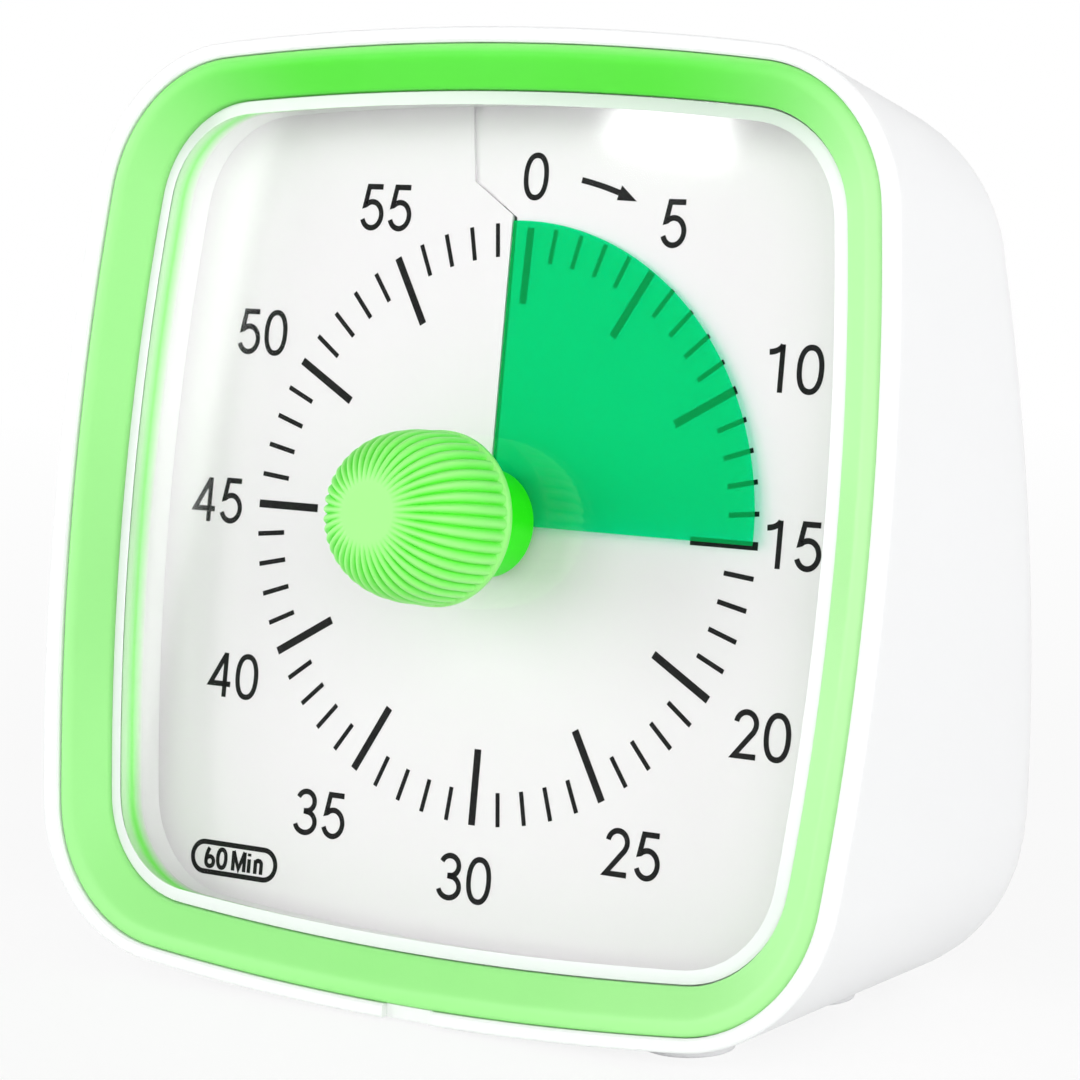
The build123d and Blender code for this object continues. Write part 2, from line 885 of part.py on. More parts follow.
def second_wheel():
    """One-minute wheel."""
    return train_wheel(
        second_place,
        second_module,
        second_teeth,
        levels[2],
        intermediate_direction,
        third_module,
        levels[1],
        second_direction,
    )


def intermediate_wheel():
    """Wheel that the rotor drives."""
    return train_wheel(
        intermediate_place,
        intermediate_module,
        intermediate_teeth,
        levels[3],
        rotor_direction,
        second_module,
        levels[2],
        intermediate_direction,
    )


def rotor():
    """Round magnet with the first pinion."""
    x, y = rotor_place
    overhang = (pinion_length - wheel_thickness) / 2
    top = levels[3]
    pinion = gear(
        intermediate_module,
        pinion_teeth,
        top - wheel_thickness - overhang,
        top + overhang,
        pinion_turn(rotor_direction),
    )
    middle = stator_middle()
    magnet = disc(rotor_radius, middle - rotor_length / 2, middle + rotor_length / 2, x, y)
    return Pos(x, y, 0) * pinion + magnet + arbor(rotor_place)


def stator_middle():
    """Height of the motor's magnetic circuit."""
    return levels[2] + (pinion_length - wheel_thickness) / 2


def stator():
    """Steel plate with the rotor's hole, its arms running to the coil's core."""
    x, y = rotor_place
    low = stator_middle() - stator_thickness / 2
    high = low + stator_thickness
    ring_radius = rotor_radius + rotor_gap + stator_ring
    plate = disc(ring_radius, low, high, x, y)
    start = coil_offset - core_half_width
    arm = coil_offset + coil_flange_radius + stator_arm_gap
    foot_high = coil_high + coil_flange
    foot_low = coil_low - coil_flange
    width = 2 * core_half_width
    plate += block(start, x, foot_high, foot_high + width, low, high)
    plate += block(start, arm, foot_low - width, foot_low, low, high)
    plate += block(arm, arm + stator_ring, foot_low - width, y, low, high)
    return plate - disc(rotor_radius + rotor_gap, low - overrun, high + overrun, x, y)


def coil():
    """Bobbin and winding on a steel core."""
    middle = stator_middle()
    turn = Pos(coil_offset, (coil_low + coil_high) / 2, middle) * Rot(90, 0, 0)
    length = coil_high - coil_low
    body = turn * Cylinder(coil_radius, length)
    for end in (-1, 1):
        body += turn * Pos(0, 0, end * (length - coil_flange) / 2) * Cylinder(coil_flange_radius, coil_flange)
    low = middle - stator_thickness / 2
    core_half = length / 2 + coil_flange
    return body + turn * Box(2 * core_half_width, stator_thickness, 2 * core_half)


def movement_screw_places():
    """Four corners of the movement."""
    reach = movement_screw_offset
    return [(x, y) for x in (-reach, reach) for y in (-reach, reach)]


def case_block(low, high, inset):
    """The movement's rounded square between two heights."""
    half = case_half - inset
    shape = RectangleRounded(2 * half, 2 * half, case_corner - inset)
    return extrude(Plane.XY.offset(low) * shape, high - low)


movement_screw_bore = movement_screw_radius + screw_clearance
pivot_bore = pivot_radius + pivot_clearance


def pivot_places():
    """Arbors that turn in both plates."""
    return [third_place, second_place, intermediate_place, rotor_place]


def movement_front():
    """Front half of the movement's case, against the dial tray."""
    split = tray_back - case_split
    body = case_block(split, tray_back, 0) - case_block(split, case_inner_front, case_wall)
    body -= disc(shaft_radius + centre_bore_clearance, case_inner_front - overrun, tray_back + overrun)
    for x, y in pivot_places():
        body -= disc(pivot_bore, case_inner_front - overrun, case_inner_front + pivot_seat, x, y)
    for x, y in movement_screw_places():
        body += disc(movement_post_radius, split, case_inner_front, x, y)
        body -= disc(movement_screw_bore, split - overrun, tray_back + overrun, x, y)
    return body


def movement_rear():
    """Rear half of the movement's case."""
    split = tray_back - case_split
    body = case_block(case_back, split, 0) - case_block(case_inner_back, split, case_wall)
    low = case_inner_back - pivot_seat
    high = case_inner_back + overrun
    body -= disc(shaft_pivot_radius + centre_bore_clearance, low, high)
    for x, y in pivot_places():
        body -= disc(pivot_bore, low, high, x, y)
    for x, y in movement_screw_places():
        body += disc(movement_post_radius, case_inner_back, split, x, y)
        body -= disc(movement_screw_bore, case_back - overrun, split + overrun, x, y)
        seat = case_back + movement_screw_head_height
        body -= disc(movement_screw_head + screw_clearance, case_back - overrun, seat, x, y)
    for side, height in wire_holes:
        body -= wire_hole(side, height)
    return body


def wire_hole(side, height):
    """Hole in the case's side for one lead."""
    lie = Pos(side * case_half, height, wire_level) * Rot(0, 90, 0)
    return lie * Cylinder(wire_radius + wire_hole_gap, 4 * case_wall)


def slot(x, y, end, head):
    """Cross recess in a screw's head."""
    length = 2 * (head - screw_slot_margin)
    depth = 2 * screw_slot_depth
    return Pos(x, y, end) * (Box(length, screw_slot, depth) + Box(screw_slot, length, depth))


def movement_screws():
    """Screws that hold the movement's halves to the tray."""
    screws = []
    for x, y in movement_screw_places():
        seat = case_back + movement_screw_head_height
        head = disc(movement_screw_head, case_back, seat, x, y) - slot(x, y, case_back, movement_screw_head)
        tip = tray_back + movement_screw_length
        screws.append(head + disc(movement_screw_core, seat, tip, x, y))
    return Compound(screws)


def alarm_cam():
    """Cam on the shaft that meets the alarm contacts at zero."""
    low = case_inner_back + cam_to_rear
    body = disc(cam_radius, low, low + cam_thickness)
    lobe = sector(cam_lobe_radius, shaft_radius, -cam_lobe_half, 2 * cam_lobe_half, low, low + cam_thickness)
    return body + lobe - disc(shaft_radius, low - overrun, low + cam_thickness + overrun)


def clutch_spring():
    """Friction washer fixed on the shaft behind the centre wheel."""
    high = levels[0] - wheel_thickness - centre_hub_length - clutch_gap
    body = disc(clutch_radius, high - clutch_thickness, high)
    return body - disc(shaft_radius, high - 2 * clutch_thickness, high + overrun)


def movement_board():
    """The movement's own circuit board, low in its case."""
    return block(
        -movement_board_half,
        movement_board_half,
        movement_board_low,
        movement_board_low + movement_board_height,
        movement_board_face - movement_board_thickness,
        movement_board_face,
    )


def timer_chip():
    """The blob over the clock's chip."""
    x = -movement_board_half / 2
    y = movement_board_low + movement_board_height / 2
    seat = movement_board_face
    dome_top = disc(chip_size / 2, seat, seat + chip_height, x, y)
    return fillet(dome_top.edges().sort_by(Axis.Z)[-1], chip_round)


def quartz_crystal():
    """The crystal's can, lying on the board."""
    x = movement_board_half / 2
    y = movement_board_low + movement_board_height / 2
    seat = movement_board_face
    return Pos(x, y, seat + crystal_radius) * Rot(0, 90, 0) * Cylinder(crystal_radius, crystal_length)


def alarm_contacts():
    """Two leaf contacts on the movement's rear plate, beside the cam."""
    low = case_inner_back
    high = low + leaf_height
    end = leaf_length / 2
    leaves = []
    for step in range(2):
        y = cam_lobe_radius + leaf_gap + step * leaf_spacing
        leaf = block(-end, end, y, y + leaf_thickness, low, high)
        leaves.append(leaf + block(end - leaf_fold, end, y, y + 2 * leaf_thickness, low, high))
    return Compound(leaves)


# ---- battery and its bay
def battery():
    """One AA cell lying across the timer."""
    lie = Pos(battery_x, battery_centre, battery_height) * Rot(0, 90, 0)
    can = lie * Cylinder(battery_radius, battery_length)
    can = fillet(can.edges(), battery_edge_round)
    nub_middle = (battery_length + battery_nub) / 2
    return can + lie * Pos(0, 0, nub_middle) * Cylinder(battery_nub_radius, battery_nub)


def battery_tray():
    """Trough round the battery, reaching forward from the back wall."""
    front = bay_front
    low = back_height(battery_centre) - back_round
    inner = block(
        -bay_half, bay_half, battery_centre - bay_half_height, battery_centre + bay_half_height, low, front
    )
    outer = block(
        -bay_half - tray_box_wall,
        bay_half + tray_box_wall,
        battery_centre - bay_half_height - tray_box_wall,
        battery_centre + bay_half_height + tray_box_wall,
        low,
        front + tray_box_wall,
    )
    shell = outer - inner
    for side in (-1, 1):
        low_x, high_x = sorted((side * (bay_half + tab_gap), side * (bay_half - contact_thickness - tab_gap)))
        shell -= tab_block(low_x, high_x, tab_half_width + tab_gap, front - overrun, tab_tip)
    return (shell & inside) - on_back(door_frame()) - on_back(bay_mouth())


def contact_plate(side):
    """Spring steel plate at one end of the bay, with a tab through the tray's front."""
    low_x, high_x = sorted((side * bay_half, side * (bay_half - contact_thickness)))
    half = battery_radius - contact_inset
    middle = Pos((low_x + high_x) / 2, battery_centre, battery_height)
    plate = middle * Box(contact_thickness, 2 * half, 2 * half)
    return plate + tab_block(low_x, high_x, tab_half_width, battery_height, tab_tip)


def tab_block(low_x, high_x, half, low, high):
    """Upright strip at the battery wire's place."""
    return block(low_x, high_x, battery_wire_y - half, battery_wire_y + half, low, high)


def positive_contact():
    """Flat plate that the battery's nub meets."""
    return contact_plate(1)


def negative_contact():
    """Plate with a small coil spring."""
    start = -bay_half + contact_thickness
    length = battery_x - battery_length / 2 - start - 2 * spring_wire
    coils = Helix(length / spring_turns, length, spring_radius)
    begin = Plane(origin=coils @ 0, z_dir=coils % 0)
    spring = sweep(begin * Circle(spring_wire), path=coils)
    lie = Pos(start + spring_wire, battery_centre, battery_height) * Rot(0, 90, 0)
    return Compound([contact_plate(-1), lie * spring])


def battery_door():
    """Door with a rounded lower edge, two pins and a finger tab."""
    low = door_low
    high = battery_wall_y + door_half_height
    lie = Pos(0, door_axis.Y, door_axis.Z) * Rot(0, 90, 0)
    plate = block(-door_half_length, door_half_length, door_axis.Y, high, 0, door_thickness)
    plate += lie * Cylinder(door_thickness / 2, 2 * door_half_length)
    plate += lie * Cylinder(door_pin_radius, 2 * (door_half_length + door_pin_reach))
    half = door_tab_half
    plate -= block(-half, half, high - 2 * door_tab_depth, high + overrun, -overrun, door_tab_depth)
    for step in range(door_ridges):
        y = high - door_ridge_start - door_ridge_pitch * step
        plate -= block(-half, half, y, y + door_ridge_width, -overrun, door_ridge_depth)
    return on_back(plate)


# ---- alarm board
def alarm_board():
    """Board with the volume switch and buzzer, on two bosses behind the back wall."""
    front = board_rear + board_thickness
    plate = block(-board_half_width, board_half_width, board_low, board_high, board_rear, front)
    for x, y in board_screw_places:
        plate -= disc(pilot_radius + screw_clearance, board_rear - overrun, front + overrun, x, y)
    return on_back(plate)


def board_screws():
    """Two screws that hold the alarm board."""
    screws = []
    for x, y in board_screw_places:
        seat = board_rear + board_thickness
        top = seat + board_screw_head_height
        head = disc(board_screw_head, seat, top, x, y) - slot(x, y, top, board_screw_head)
        screws.append(on_back(head + disc(pilot_radius, seat - board_screw_length, seat, x, y)))
    return Compound(screws)


def switch_body():
    """Metal frame of the volume switch, open towards the back wall."""
    x, y = switch_place
    low = wall + 2 * slider_foot + slider_gap
    high = board_rear
    long = switch_half_length
    tall = switch_half_height
    body = block(x - long, x + long, y - tall, y + tall, low, high)
    half = slider_travel + slider_half + slider_gap
    narrow = slider_half + slider_gap
    body -= block(x - half, x + half, y - narrow, y + narrow, low - overrun, high - switch_floor)
    return on_back(body)


def volume_slider():
    """Finger piece of the volume switch, in its middle place."""
    x, y = switch_place
    tip = -slider_proud + slot_recess
    half = slider_half
    end = board_rear - switch_floor - slider_gap
    stem = block(x - half, x + half, y - half, y + half, tip, end)
    for step in range(slider_ridges):
        ridge = x + (step - (slider_ridges - 1) / 2) * slider_ridge_pitch
        stem -= Pos(ridge, y, tip) * Box(slider_ridge, 2 * half, slider_ridge)
    low = wall + slider_gap
    foot = slider_foot_half
    return on_back(stem + block(x - half, x + half, y - foot, y + foot, low, low + slider_foot))


def buzzer():
    """Round black sounder behind the grille."""
    x, y = buzzer_place
    face = board_rear - buzzer_height
    body = disc(buzzer_radius, face, board_rear, x, y)
    return on_back(body - disc(buzzer_hole, face - overrun, board_rear - buzzer_floor, x, y))


def alarm_chip():
    """Alarm chip on the board's front."""
    x, y = alarm_chip_place
    length, width, height = alarm_chip_size
    middle = board_rear + board_thickness + height / 2
    return on_back(Pos(x, y, middle) * Box(length, width, height))


# ---- screws and feet
def case_screws():
    """Four long-hole screws that hold the tray and front to the housing."""
    screws = []
    for x, y in case_screw_places:
        seat = screw_seat
        base = seat - case_screw_head_height
        head = disc(case_screw_head, base, seat, x, y) - slot(x, y, base, case_screw_head)
        screws.append(head + disc(case_screw_core, seat, seat + case_screw_length, x, y))
    return Compound(screws)


def foot_pads():
    """Four rubber feet in shallow pockets under the housing."""
    return Compound([floor_plane * disc(foot_radius, 0, foot_height, x, back) for x, back in foot_places])


# ---- wires
def lead(points):
    """A wire along straight runs with round bends."""
    path = FilletPolyline(*points, radius=wire_bend)
    start = Plane(origin=path @ 0, z_dir=path % 0)
    return sweep(start * Circle(wire_radius), path=path)


def battery_wires():
    """A lead from each contact's tab to the movement's board."""
    leads = []
    for side in (-1, 1):
        x = side * (bay_half - contact_thickness / 2)
        end = side * movement_board_half
        points = [(x, battery_wire_y, height) for height in (tab_tip, wire_level)]
        leads.append(lead([*points, (end, battery_wire_y, wire_level)]))
    return Compound(leads)


def buzzer_wires():
    """Two leads from the alarm board's edge to the movement's board."""
    leads = []
    for start, out, end in zip(buzzer_wires_start, buzzer_wires_out, buzzer_wires_y):
        x = case_half + out
        local = Vector(board_half_width, start, board_rear + board_thickness / 2)
        place = back_plane.from_local_coords(local)
        points = [place, (x, place.Y, place.Z), (x, place.Y, wire_level)]
        points += [(x, end, wire_level), (movement_board_half, end, wire_level)]
        leads.append(lead(points))
    return Compound(leads)


nodes = {
    "housing": housing,
    "bezel_ring": bezel_ring,
    "lens": lens,
    "dial_tray": dial_tray,
    "dial_card": dial_card,
    "time_film": time_film,
    "film_hub": film_hub,
    "knob_cap": knob_cap,
    "drive_shaft": drive_shaft,
    "movement_front": movement_front,
    "movement_rear": movement_rear,
    "movement_screws": movement_screws,
    "centre_wheel": centre_wheel,
    "third_wheel": third_wheel,
    "second_wheel": second_wheel,
    "intermediate_wheel": intermediate_wheel,
    "rotor": rotor,
    "stator": stator,
    "coil": coil,
    "clutch_spring": clutch_spring,
    "alarm_cam": alarm_cam,
    "alarm_contacts": alarm_contacts,
    "movement_board": movement_board,
    "timer_chip": timer_chip,
    "quartz_crystal": quartz_crystal,
    "battery": battery,
    "battery_tray": battery_tray,
    "positive_contact": positive_contact,
    "negative_contact": negative_contact,
    "battery_door": battery_door,
    "alarm_board": alarm_board,
    "board_screws": board_screws,
    "switch_body": switch_body,
    "volume_slider": volume_slider,
    "buzzer": buzzer,
    "alarm_chip": alarm_chip,
    "case_screws": case_screws,
    "foot_pads": foot_pads,
    "battery_wires": battery_wires,
    "buzzer_wires": buzzer_wires,
}

made = {name: build() for name, build in nodes.items()}

# ---- stand the timer on its feet, its box centred over the origin
standing = {name: floor_plane.location.inverse() * shape for name, shape in made.items()}
boxes = [shape.bounding_box() for shape in standing.values()]
front = min(box.min.Y for box in boxes)
rear = max(box.max.Y for box in boxes)
to_middle = Pos(0, -(front + rear) / 2, 0)

os.makedirs("parts", exist_ok=True)
for name, shape in standing.items():
    export_step(to_middle * shape, f"parts/{name}.step")

stand = to_middle * floor_plane.location.inverse()
places = {
    "dial centre": Vector(0, 0, 0),
    "rotor": Vector(*rotor_place, 0),
    "intermediate": Vector(*intermediate_place, 0),
    "second": Vector(*second_place, 0),
    "third": Vector(*third_place, 0),
    "door hinge": back_plane.from_local_coords(door_axis),
}
for name, place in places.items():
    print(name, (stand * Pos(place)).position)
for name, way in {"dial axis": (0, 0, 1), "back wall": (0, slant_cos, slant_sin)}.items():
    print(name, (stand * Pos(*way)).position - stand.position)
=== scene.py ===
import bpy, bmesh, json, math
from mathutils import Matrix, Vector
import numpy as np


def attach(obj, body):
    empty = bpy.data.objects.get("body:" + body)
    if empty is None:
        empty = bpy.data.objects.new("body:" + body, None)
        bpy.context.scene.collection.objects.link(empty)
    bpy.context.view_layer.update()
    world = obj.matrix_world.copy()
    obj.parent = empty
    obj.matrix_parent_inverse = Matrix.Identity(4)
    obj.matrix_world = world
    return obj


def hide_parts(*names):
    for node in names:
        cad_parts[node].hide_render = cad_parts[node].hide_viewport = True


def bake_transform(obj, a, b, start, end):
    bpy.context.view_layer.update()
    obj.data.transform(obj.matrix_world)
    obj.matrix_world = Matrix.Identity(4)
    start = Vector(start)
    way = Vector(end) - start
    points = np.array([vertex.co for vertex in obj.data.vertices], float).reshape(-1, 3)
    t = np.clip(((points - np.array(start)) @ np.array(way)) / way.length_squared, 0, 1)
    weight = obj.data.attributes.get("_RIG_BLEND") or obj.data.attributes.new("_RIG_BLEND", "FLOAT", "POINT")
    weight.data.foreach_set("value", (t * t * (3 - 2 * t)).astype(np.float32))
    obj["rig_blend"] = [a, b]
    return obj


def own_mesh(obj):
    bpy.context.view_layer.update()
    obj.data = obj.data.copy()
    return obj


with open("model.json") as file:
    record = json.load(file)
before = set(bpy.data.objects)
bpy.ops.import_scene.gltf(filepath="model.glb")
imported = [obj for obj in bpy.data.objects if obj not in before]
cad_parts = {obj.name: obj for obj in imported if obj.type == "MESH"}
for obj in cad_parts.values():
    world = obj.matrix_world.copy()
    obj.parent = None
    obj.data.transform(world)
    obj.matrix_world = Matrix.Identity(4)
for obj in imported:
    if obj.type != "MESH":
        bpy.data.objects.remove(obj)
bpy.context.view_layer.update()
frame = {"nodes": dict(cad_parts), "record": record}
record = frame["record"]
print("frame loaded")

# Pieces are drawn in the dial's own frame, in millimetres: X right, Y up the dial, Z out of it,
# with the card's front at Z = 0. dialFrame takes them to their place in metres.
knobJoint = next(j for j in record["behaviour"]["joints"] if j["name"] == "knob_turn")
dialCentre = Vector(knobJoint["pos_m"])
outWay = -Vector(knobJoint["axis"]).normalized()
upWay = outWay.cross(Vector((1, 0, 0)))
mm = 0.001
dialFrame = Matrix.Translation(dialCentre) @ Matrix((
    (mm, 0, 0, 0),
    (0, upWay.y * mm, outWay.y * mm, 0),
    (0, upWay.z * mm, outWay.z * mm, 0),
    (0, 0, 0, 1),
))


# shader and geometry node helpers

class Value:
    # a number socket; an expression on values adds its Math nodes
    def __init__(self, maker, socket):
        self.maker = maker
        self.socket = socket

    def math(self, operation, *others, clamp=False):
        settings = {"operation": operation, "use_clamp": clamp}
        return self.maker.value("ShaderNodeMath", settings, dict(enumerate((self, *others))))

    def __rsub__(self, other):
        return self * -1 + other

    def kept(self):  # between 0 and 1
        return self.math("ADD", 0.0, clamp=True)


def mathMethod(operation):
    return lambda self, *others: self.math(operation, *others)


mathMethods = {
    "__add__": "ADD", "__radd__": "ADD", "__sub__": "SUBTRACT", "__mul__": "MULTIPLY", "__rmul__": "MULTIPLY",
    "__truediv__": "DIVIDE", "__pow__": "POWER", "sine": "SINE", "cosine": "COSINE", "size": "ABSOLUTE",
    "above": "GREATER_THAN",
}
for name, operation in mathMethods.items():
    setattr(Value, name, mathMethod(operation))


class Maker:
    # adds nodes to one tree
    def __init__(self, tree):
        self.tree = tree

    def node(self, kind, settings=None, sockets=None):
        made = self.tree.nodes.new(kind)
        for name, setting in (settings or {}).items():
            setattr(made, name, setting)
        for name, given in (sockets or {}).items():
            self.feed(made.inputs[name], given)
        return made

    def feed(self, target, given):
        if isinstance(given, Value):
            given = given.socket
        if isinstance(given, bpy.types.NodeSocket):
            self.tree.links.new(given, target)
        else:
            target.default_value = given

    def out(self, kind, settings=None, sockets=None, out=0):
        return self.node(kind, settings, sockets).outputs[out]

    def value(self, kind, settings=None, sockets=None, out=0):
        return Value(self, self.out(kind, settings, sockets, out))

    def parts(self, vector):
        apart = self.node("ShaderNodeSeparateXYZ", {}, {"Vector": vector})
        return [Value(self, socket) for socket in apart.outputs]

    def vector(self, **parts):
        return self.out("ShaderNodeCombineXYZ", {}, parts)

    def noise(self, place, scale, detail):
        return self.value("ShaderNodeTexNoise", {}, {"Vector": place, "Scale": scale, "Detail": detail})

    def bump(self, strength, distance, height):
        return self.out("ShaderNodeBump", {}, {"Strength": strength, "Distance": distance, "Height": height})

    def marked(self, name):  # a number kept on the mesh
        return self.value("ShaderNodeAttribute", {"attribute_name": name}, out=2)

    def rays(self, *kinds):  # 1 for these kinds of ray, else 0
        path = self.node("ShaderNodeLightPath")
        found = [Value(self, path.outputs[f"Is {kind} Ray"]) for kind in kinds]
        return sum(found[1:], found[0]).kept()

    def mixed(self, factor, first, second):
        return self.out("ShaderNodeMix", {"data_type": "RGBA"}, {0: factor, 6: first, 7: second}, 2)

    def shades(self, factor, tone, first, second=1.0):
        return self.mixed(factor, rgba(tone, first), rgba(tone, second))

    def blended(self, factor, first, second):
        return self.out("ShaderNodeMixShader", {}, {0: factor, 1: first, 2: second})

    def principled(self, sockets):
        return self.out("ShaderNodeBsdfPrincipled", {}, sockets)

    def clear(self, tint):
        return self.out("ShaderNodeBsdfTransparent", {}, {"Color": rgba(tint)})

    def finish(self, shader, kind="Material"):
        self.node(f"ShaderNodeOutput{kind}", {}, {"Surface": shader})


def colour(red, green, blue):
    # display values from 0 to 255, as linear light
    def linear(part):
        part = part / 255
        return part / 12.92 if part <= 0.04045 else ((part + 0.055) / 1.055) ** 2.4
    return (linear(red), linear(green), linear(blue))


def rgba(tone, share=1.0):
    return (*[part * share for part in tone], 1.0)


def newMaterial(name, make, look):
    material = bpy.data.materials.new(name)
    material.use_nodes = True
    material.node_tree.nodes.clear()
    maker = Maker(material.node_tree)
    maker.finish(make(maker, maker.out("ShaderNodeTexCoord", out=3), **look))
    return material


# finishes: each takes the surface's own coordinates and its look, and returns a shader


def mouldedPlastic(maker, place, tone, roughness, shade=0.97, crest=None, crestShare=0.9, cloudScale=60.0,
                   grainScale=3500.0, roughVary=0.08, grainVary=0.04, bump=0.12, bumpDepth=0.00004,
                   specular=0.5, glow=0.0, glowDepth=0.0015):
    # cloudy colour, polish that varies, fine grain in the surface, and a paler colour mixed in as painted sheen
    # where the mesh marks it
    cloud = maker.noise(place, cloudScale, 3.0)
    grain = maker.noise(place, grainScale, 2.0)
    tint = maker.shades(cloud, tone, shade)
    if crest:
        tint = maker.mixed(maker.marked("crest") * crestShare + cloud * (1 - crestShare), tint, rgba(crest))
    return maker.principled({
        "Base Color": tint, "Roughness": roughness + (cloud - 0.5) * roughVary + (grain - 0.5) * grainVary,
        "Normal": maker.bump(bump, bumpDepth, grain), "Specular IOR Level": specular,
        "Subsurface Weight": glow, "Subsurface Scale": glowDepth,
    })


def brushedMetal(maker, place, tone, roughness, shade=0.8, streaks=(400.0, 400.0, 6000.0), streakShare=0.6,
                 stainScale=180.0, stainRough=0.15, bump=0.1, bumpDepth=0.00003):
    # drawn or plated metal with fine streaks
    streak = maker.noise(maker.out("ShaderNodeMapping", {}, {"Vector": place, "Scale": streaks}), 1.0, 3.0)
    stain = maker.noise(place, stainScale, 4.0)
    return maker.principled({
        "Base Color": maker.shades(streak * streakShare + stain * (1 - streakShare), tone, shade),
        "Metallic": 1.0, "Roughness": roughness + stain * stainRough,
        "Normal": maker.bump(bump, bumpDepth, streak),
    })


def woundWire(maker, place, tone, turnsPerMetre, shade=0.45, metallic=0.8, roughness=0.3, grooveRough=0.2,
              bump=0.6, bumpDepth=0.00008):
    # fine enamelled wire wound side by side along the dial
    turn = (maker.parts(place)[2] * turnsPerMetre * 2 * math.pi).sine() * 0.5 + 0.5
    return maker.principled({
        "Base Color": maker.shades(turn, tone, shade), "Metallic": metallic,
        "Roughness": roughness + (1 - turn) * grooveRough, "Normal": maker.bump(bump, bumpDepth, turn),
    })


def lacqueredBoard(maker, place, tone, lean=1.4, trackScale=260.0, trackWide=0.06, trackShare=0.8,
                   trackBright=1.9, cloudScale=120.0, roughness=0.28, roughVary=0.12, bump=0.3,
                   bumpDepth=0.00004, coat=0.4, coatRough=0.1):
    # green lacquer over copper tracks
    leant = maker.out("ShaderNodeMapping", {}, {
        "Vector": place, "Rotation": (lean, 0.0, 0.0), "Scale": (trackScale,) * 3})
    track = maker.value("ShaderNodeTexBrick", {"offset": 0.5}, {
        "Vector": leant, "Scale": 1.0, "Mortar Size": trackWide,
        "Color1": (0, 0, 0, 1), "Color2": (0, 0, 0, 1), "Mortar": (1, 1, 1, 1)}, 1)
    cloud = maker.noise(place, cloudScale, 3.0)
    return maker.principled({
        "Base Color": maker.shades(track * trackShare + cloud * (1 - trackShare), tone, 1.0, trackBright),
        "Roughness": roughness + cloud * roughVary, "Normal": maker.bump(bump, bumpDepth, track),
        "Coat Weight": coat, "Coat Roughness": coatRough,
    })


def cellWrap(maker, place, tone, bandTone, bandFrom, endTone, endFrom, cloudScale=90.0, metallic=0.1,
             bandMetallic=0.8, roughness=0.25, roughVary=0.12):
    # dark printed cell with a copper-coloured end band
    along = maker.parts(place)[0]
    band, ends = along.above(bandFrom), along.size().above(endFrom)
    return maker.principled({
        "Base Color": maker.mixed(ends, maker.mixed(band, rgba(tone), rgba(bandTone)), rgba(endTone)),
        "Metallic": (band + ends).kept() * bandMetallic + metallic,
        "Roughness": roughness + maker.noise(place, cloudScale, 2.0) * roughVary,
    })


def clearPlastic(maker, place, mirror, tint=(0.998, 0.998, 0.998), milkAndPaintedReflection=(0.9, 0.91, 0.92), milkAndPaintedReflectionShare=0.001,
                 roughness=0.05, paintedShadeAndReflection=None, hazeScale=35.0, hazeShade=0.99, hazeRough=0.01, bend=1.49):
    # mirrors a little, more at a slant, and lets the rest through; a milky colour, and a second colour where the
    # mesh marks it, are mixed in, on the lens edge and skirt as painted reflection and shade
    haze = maker.noise(place, hazeScale, 3.0)
    tone = maker.shades(haze, milkAndPaintedReflection, 1.0, hazeShade)
    if paintedShadeAndReflection:
        tone = maker.mixed(maker.marked("paintedShadeAndReflection"), tone, rgba(paintedShadeAndReflection))
    shine = maker.principled({"Base Color": tone, "Roughness": roughness + haze * hazeRough})
    polish = maker.principled({"Base Color": (1.0, 1.0, 1.0, 1.0), "Metallic": 1.0, "Roughness": roughness})
    slant = maker.value("ShaderNodeFresnel", {}, {"IOR": bend})
    share = slant * (1 - maker.rays("Shadow", "Diffuse")) * mirror
    return maker.blended(share, maker.blended(milkAndPaintedReflectionShare, maker.clear(tint), shine), polish)


def tintedFilm(maker, place, tone, through, share, shareVary=0.02, shade=0.97, cloudScale=40.0,
               grainScale=1800.0, roughness=0.5, roughVary=0.06, specular=0.02, bump=0.05, bumpDepth=0.00003):
    # part of the light comes back from it, part goes through and picks up its colour
    cloud = maker.noise(place, cloudScale, 3.0)
    grain = maker.noise(place, grainScale, 2.0)
    skin = maker.principled({
        "Base Color": maker.shades(cloud, tone, shade), "Roughness": roughness + cloud * roughVary,
        "Specular IOR Level": specular, "Normal": maker.bump(bump, bumpDepth, grain),
    })
    return maker.blended(share + (cloud - 0.5) * shareVary, maker.clear(through), skin)


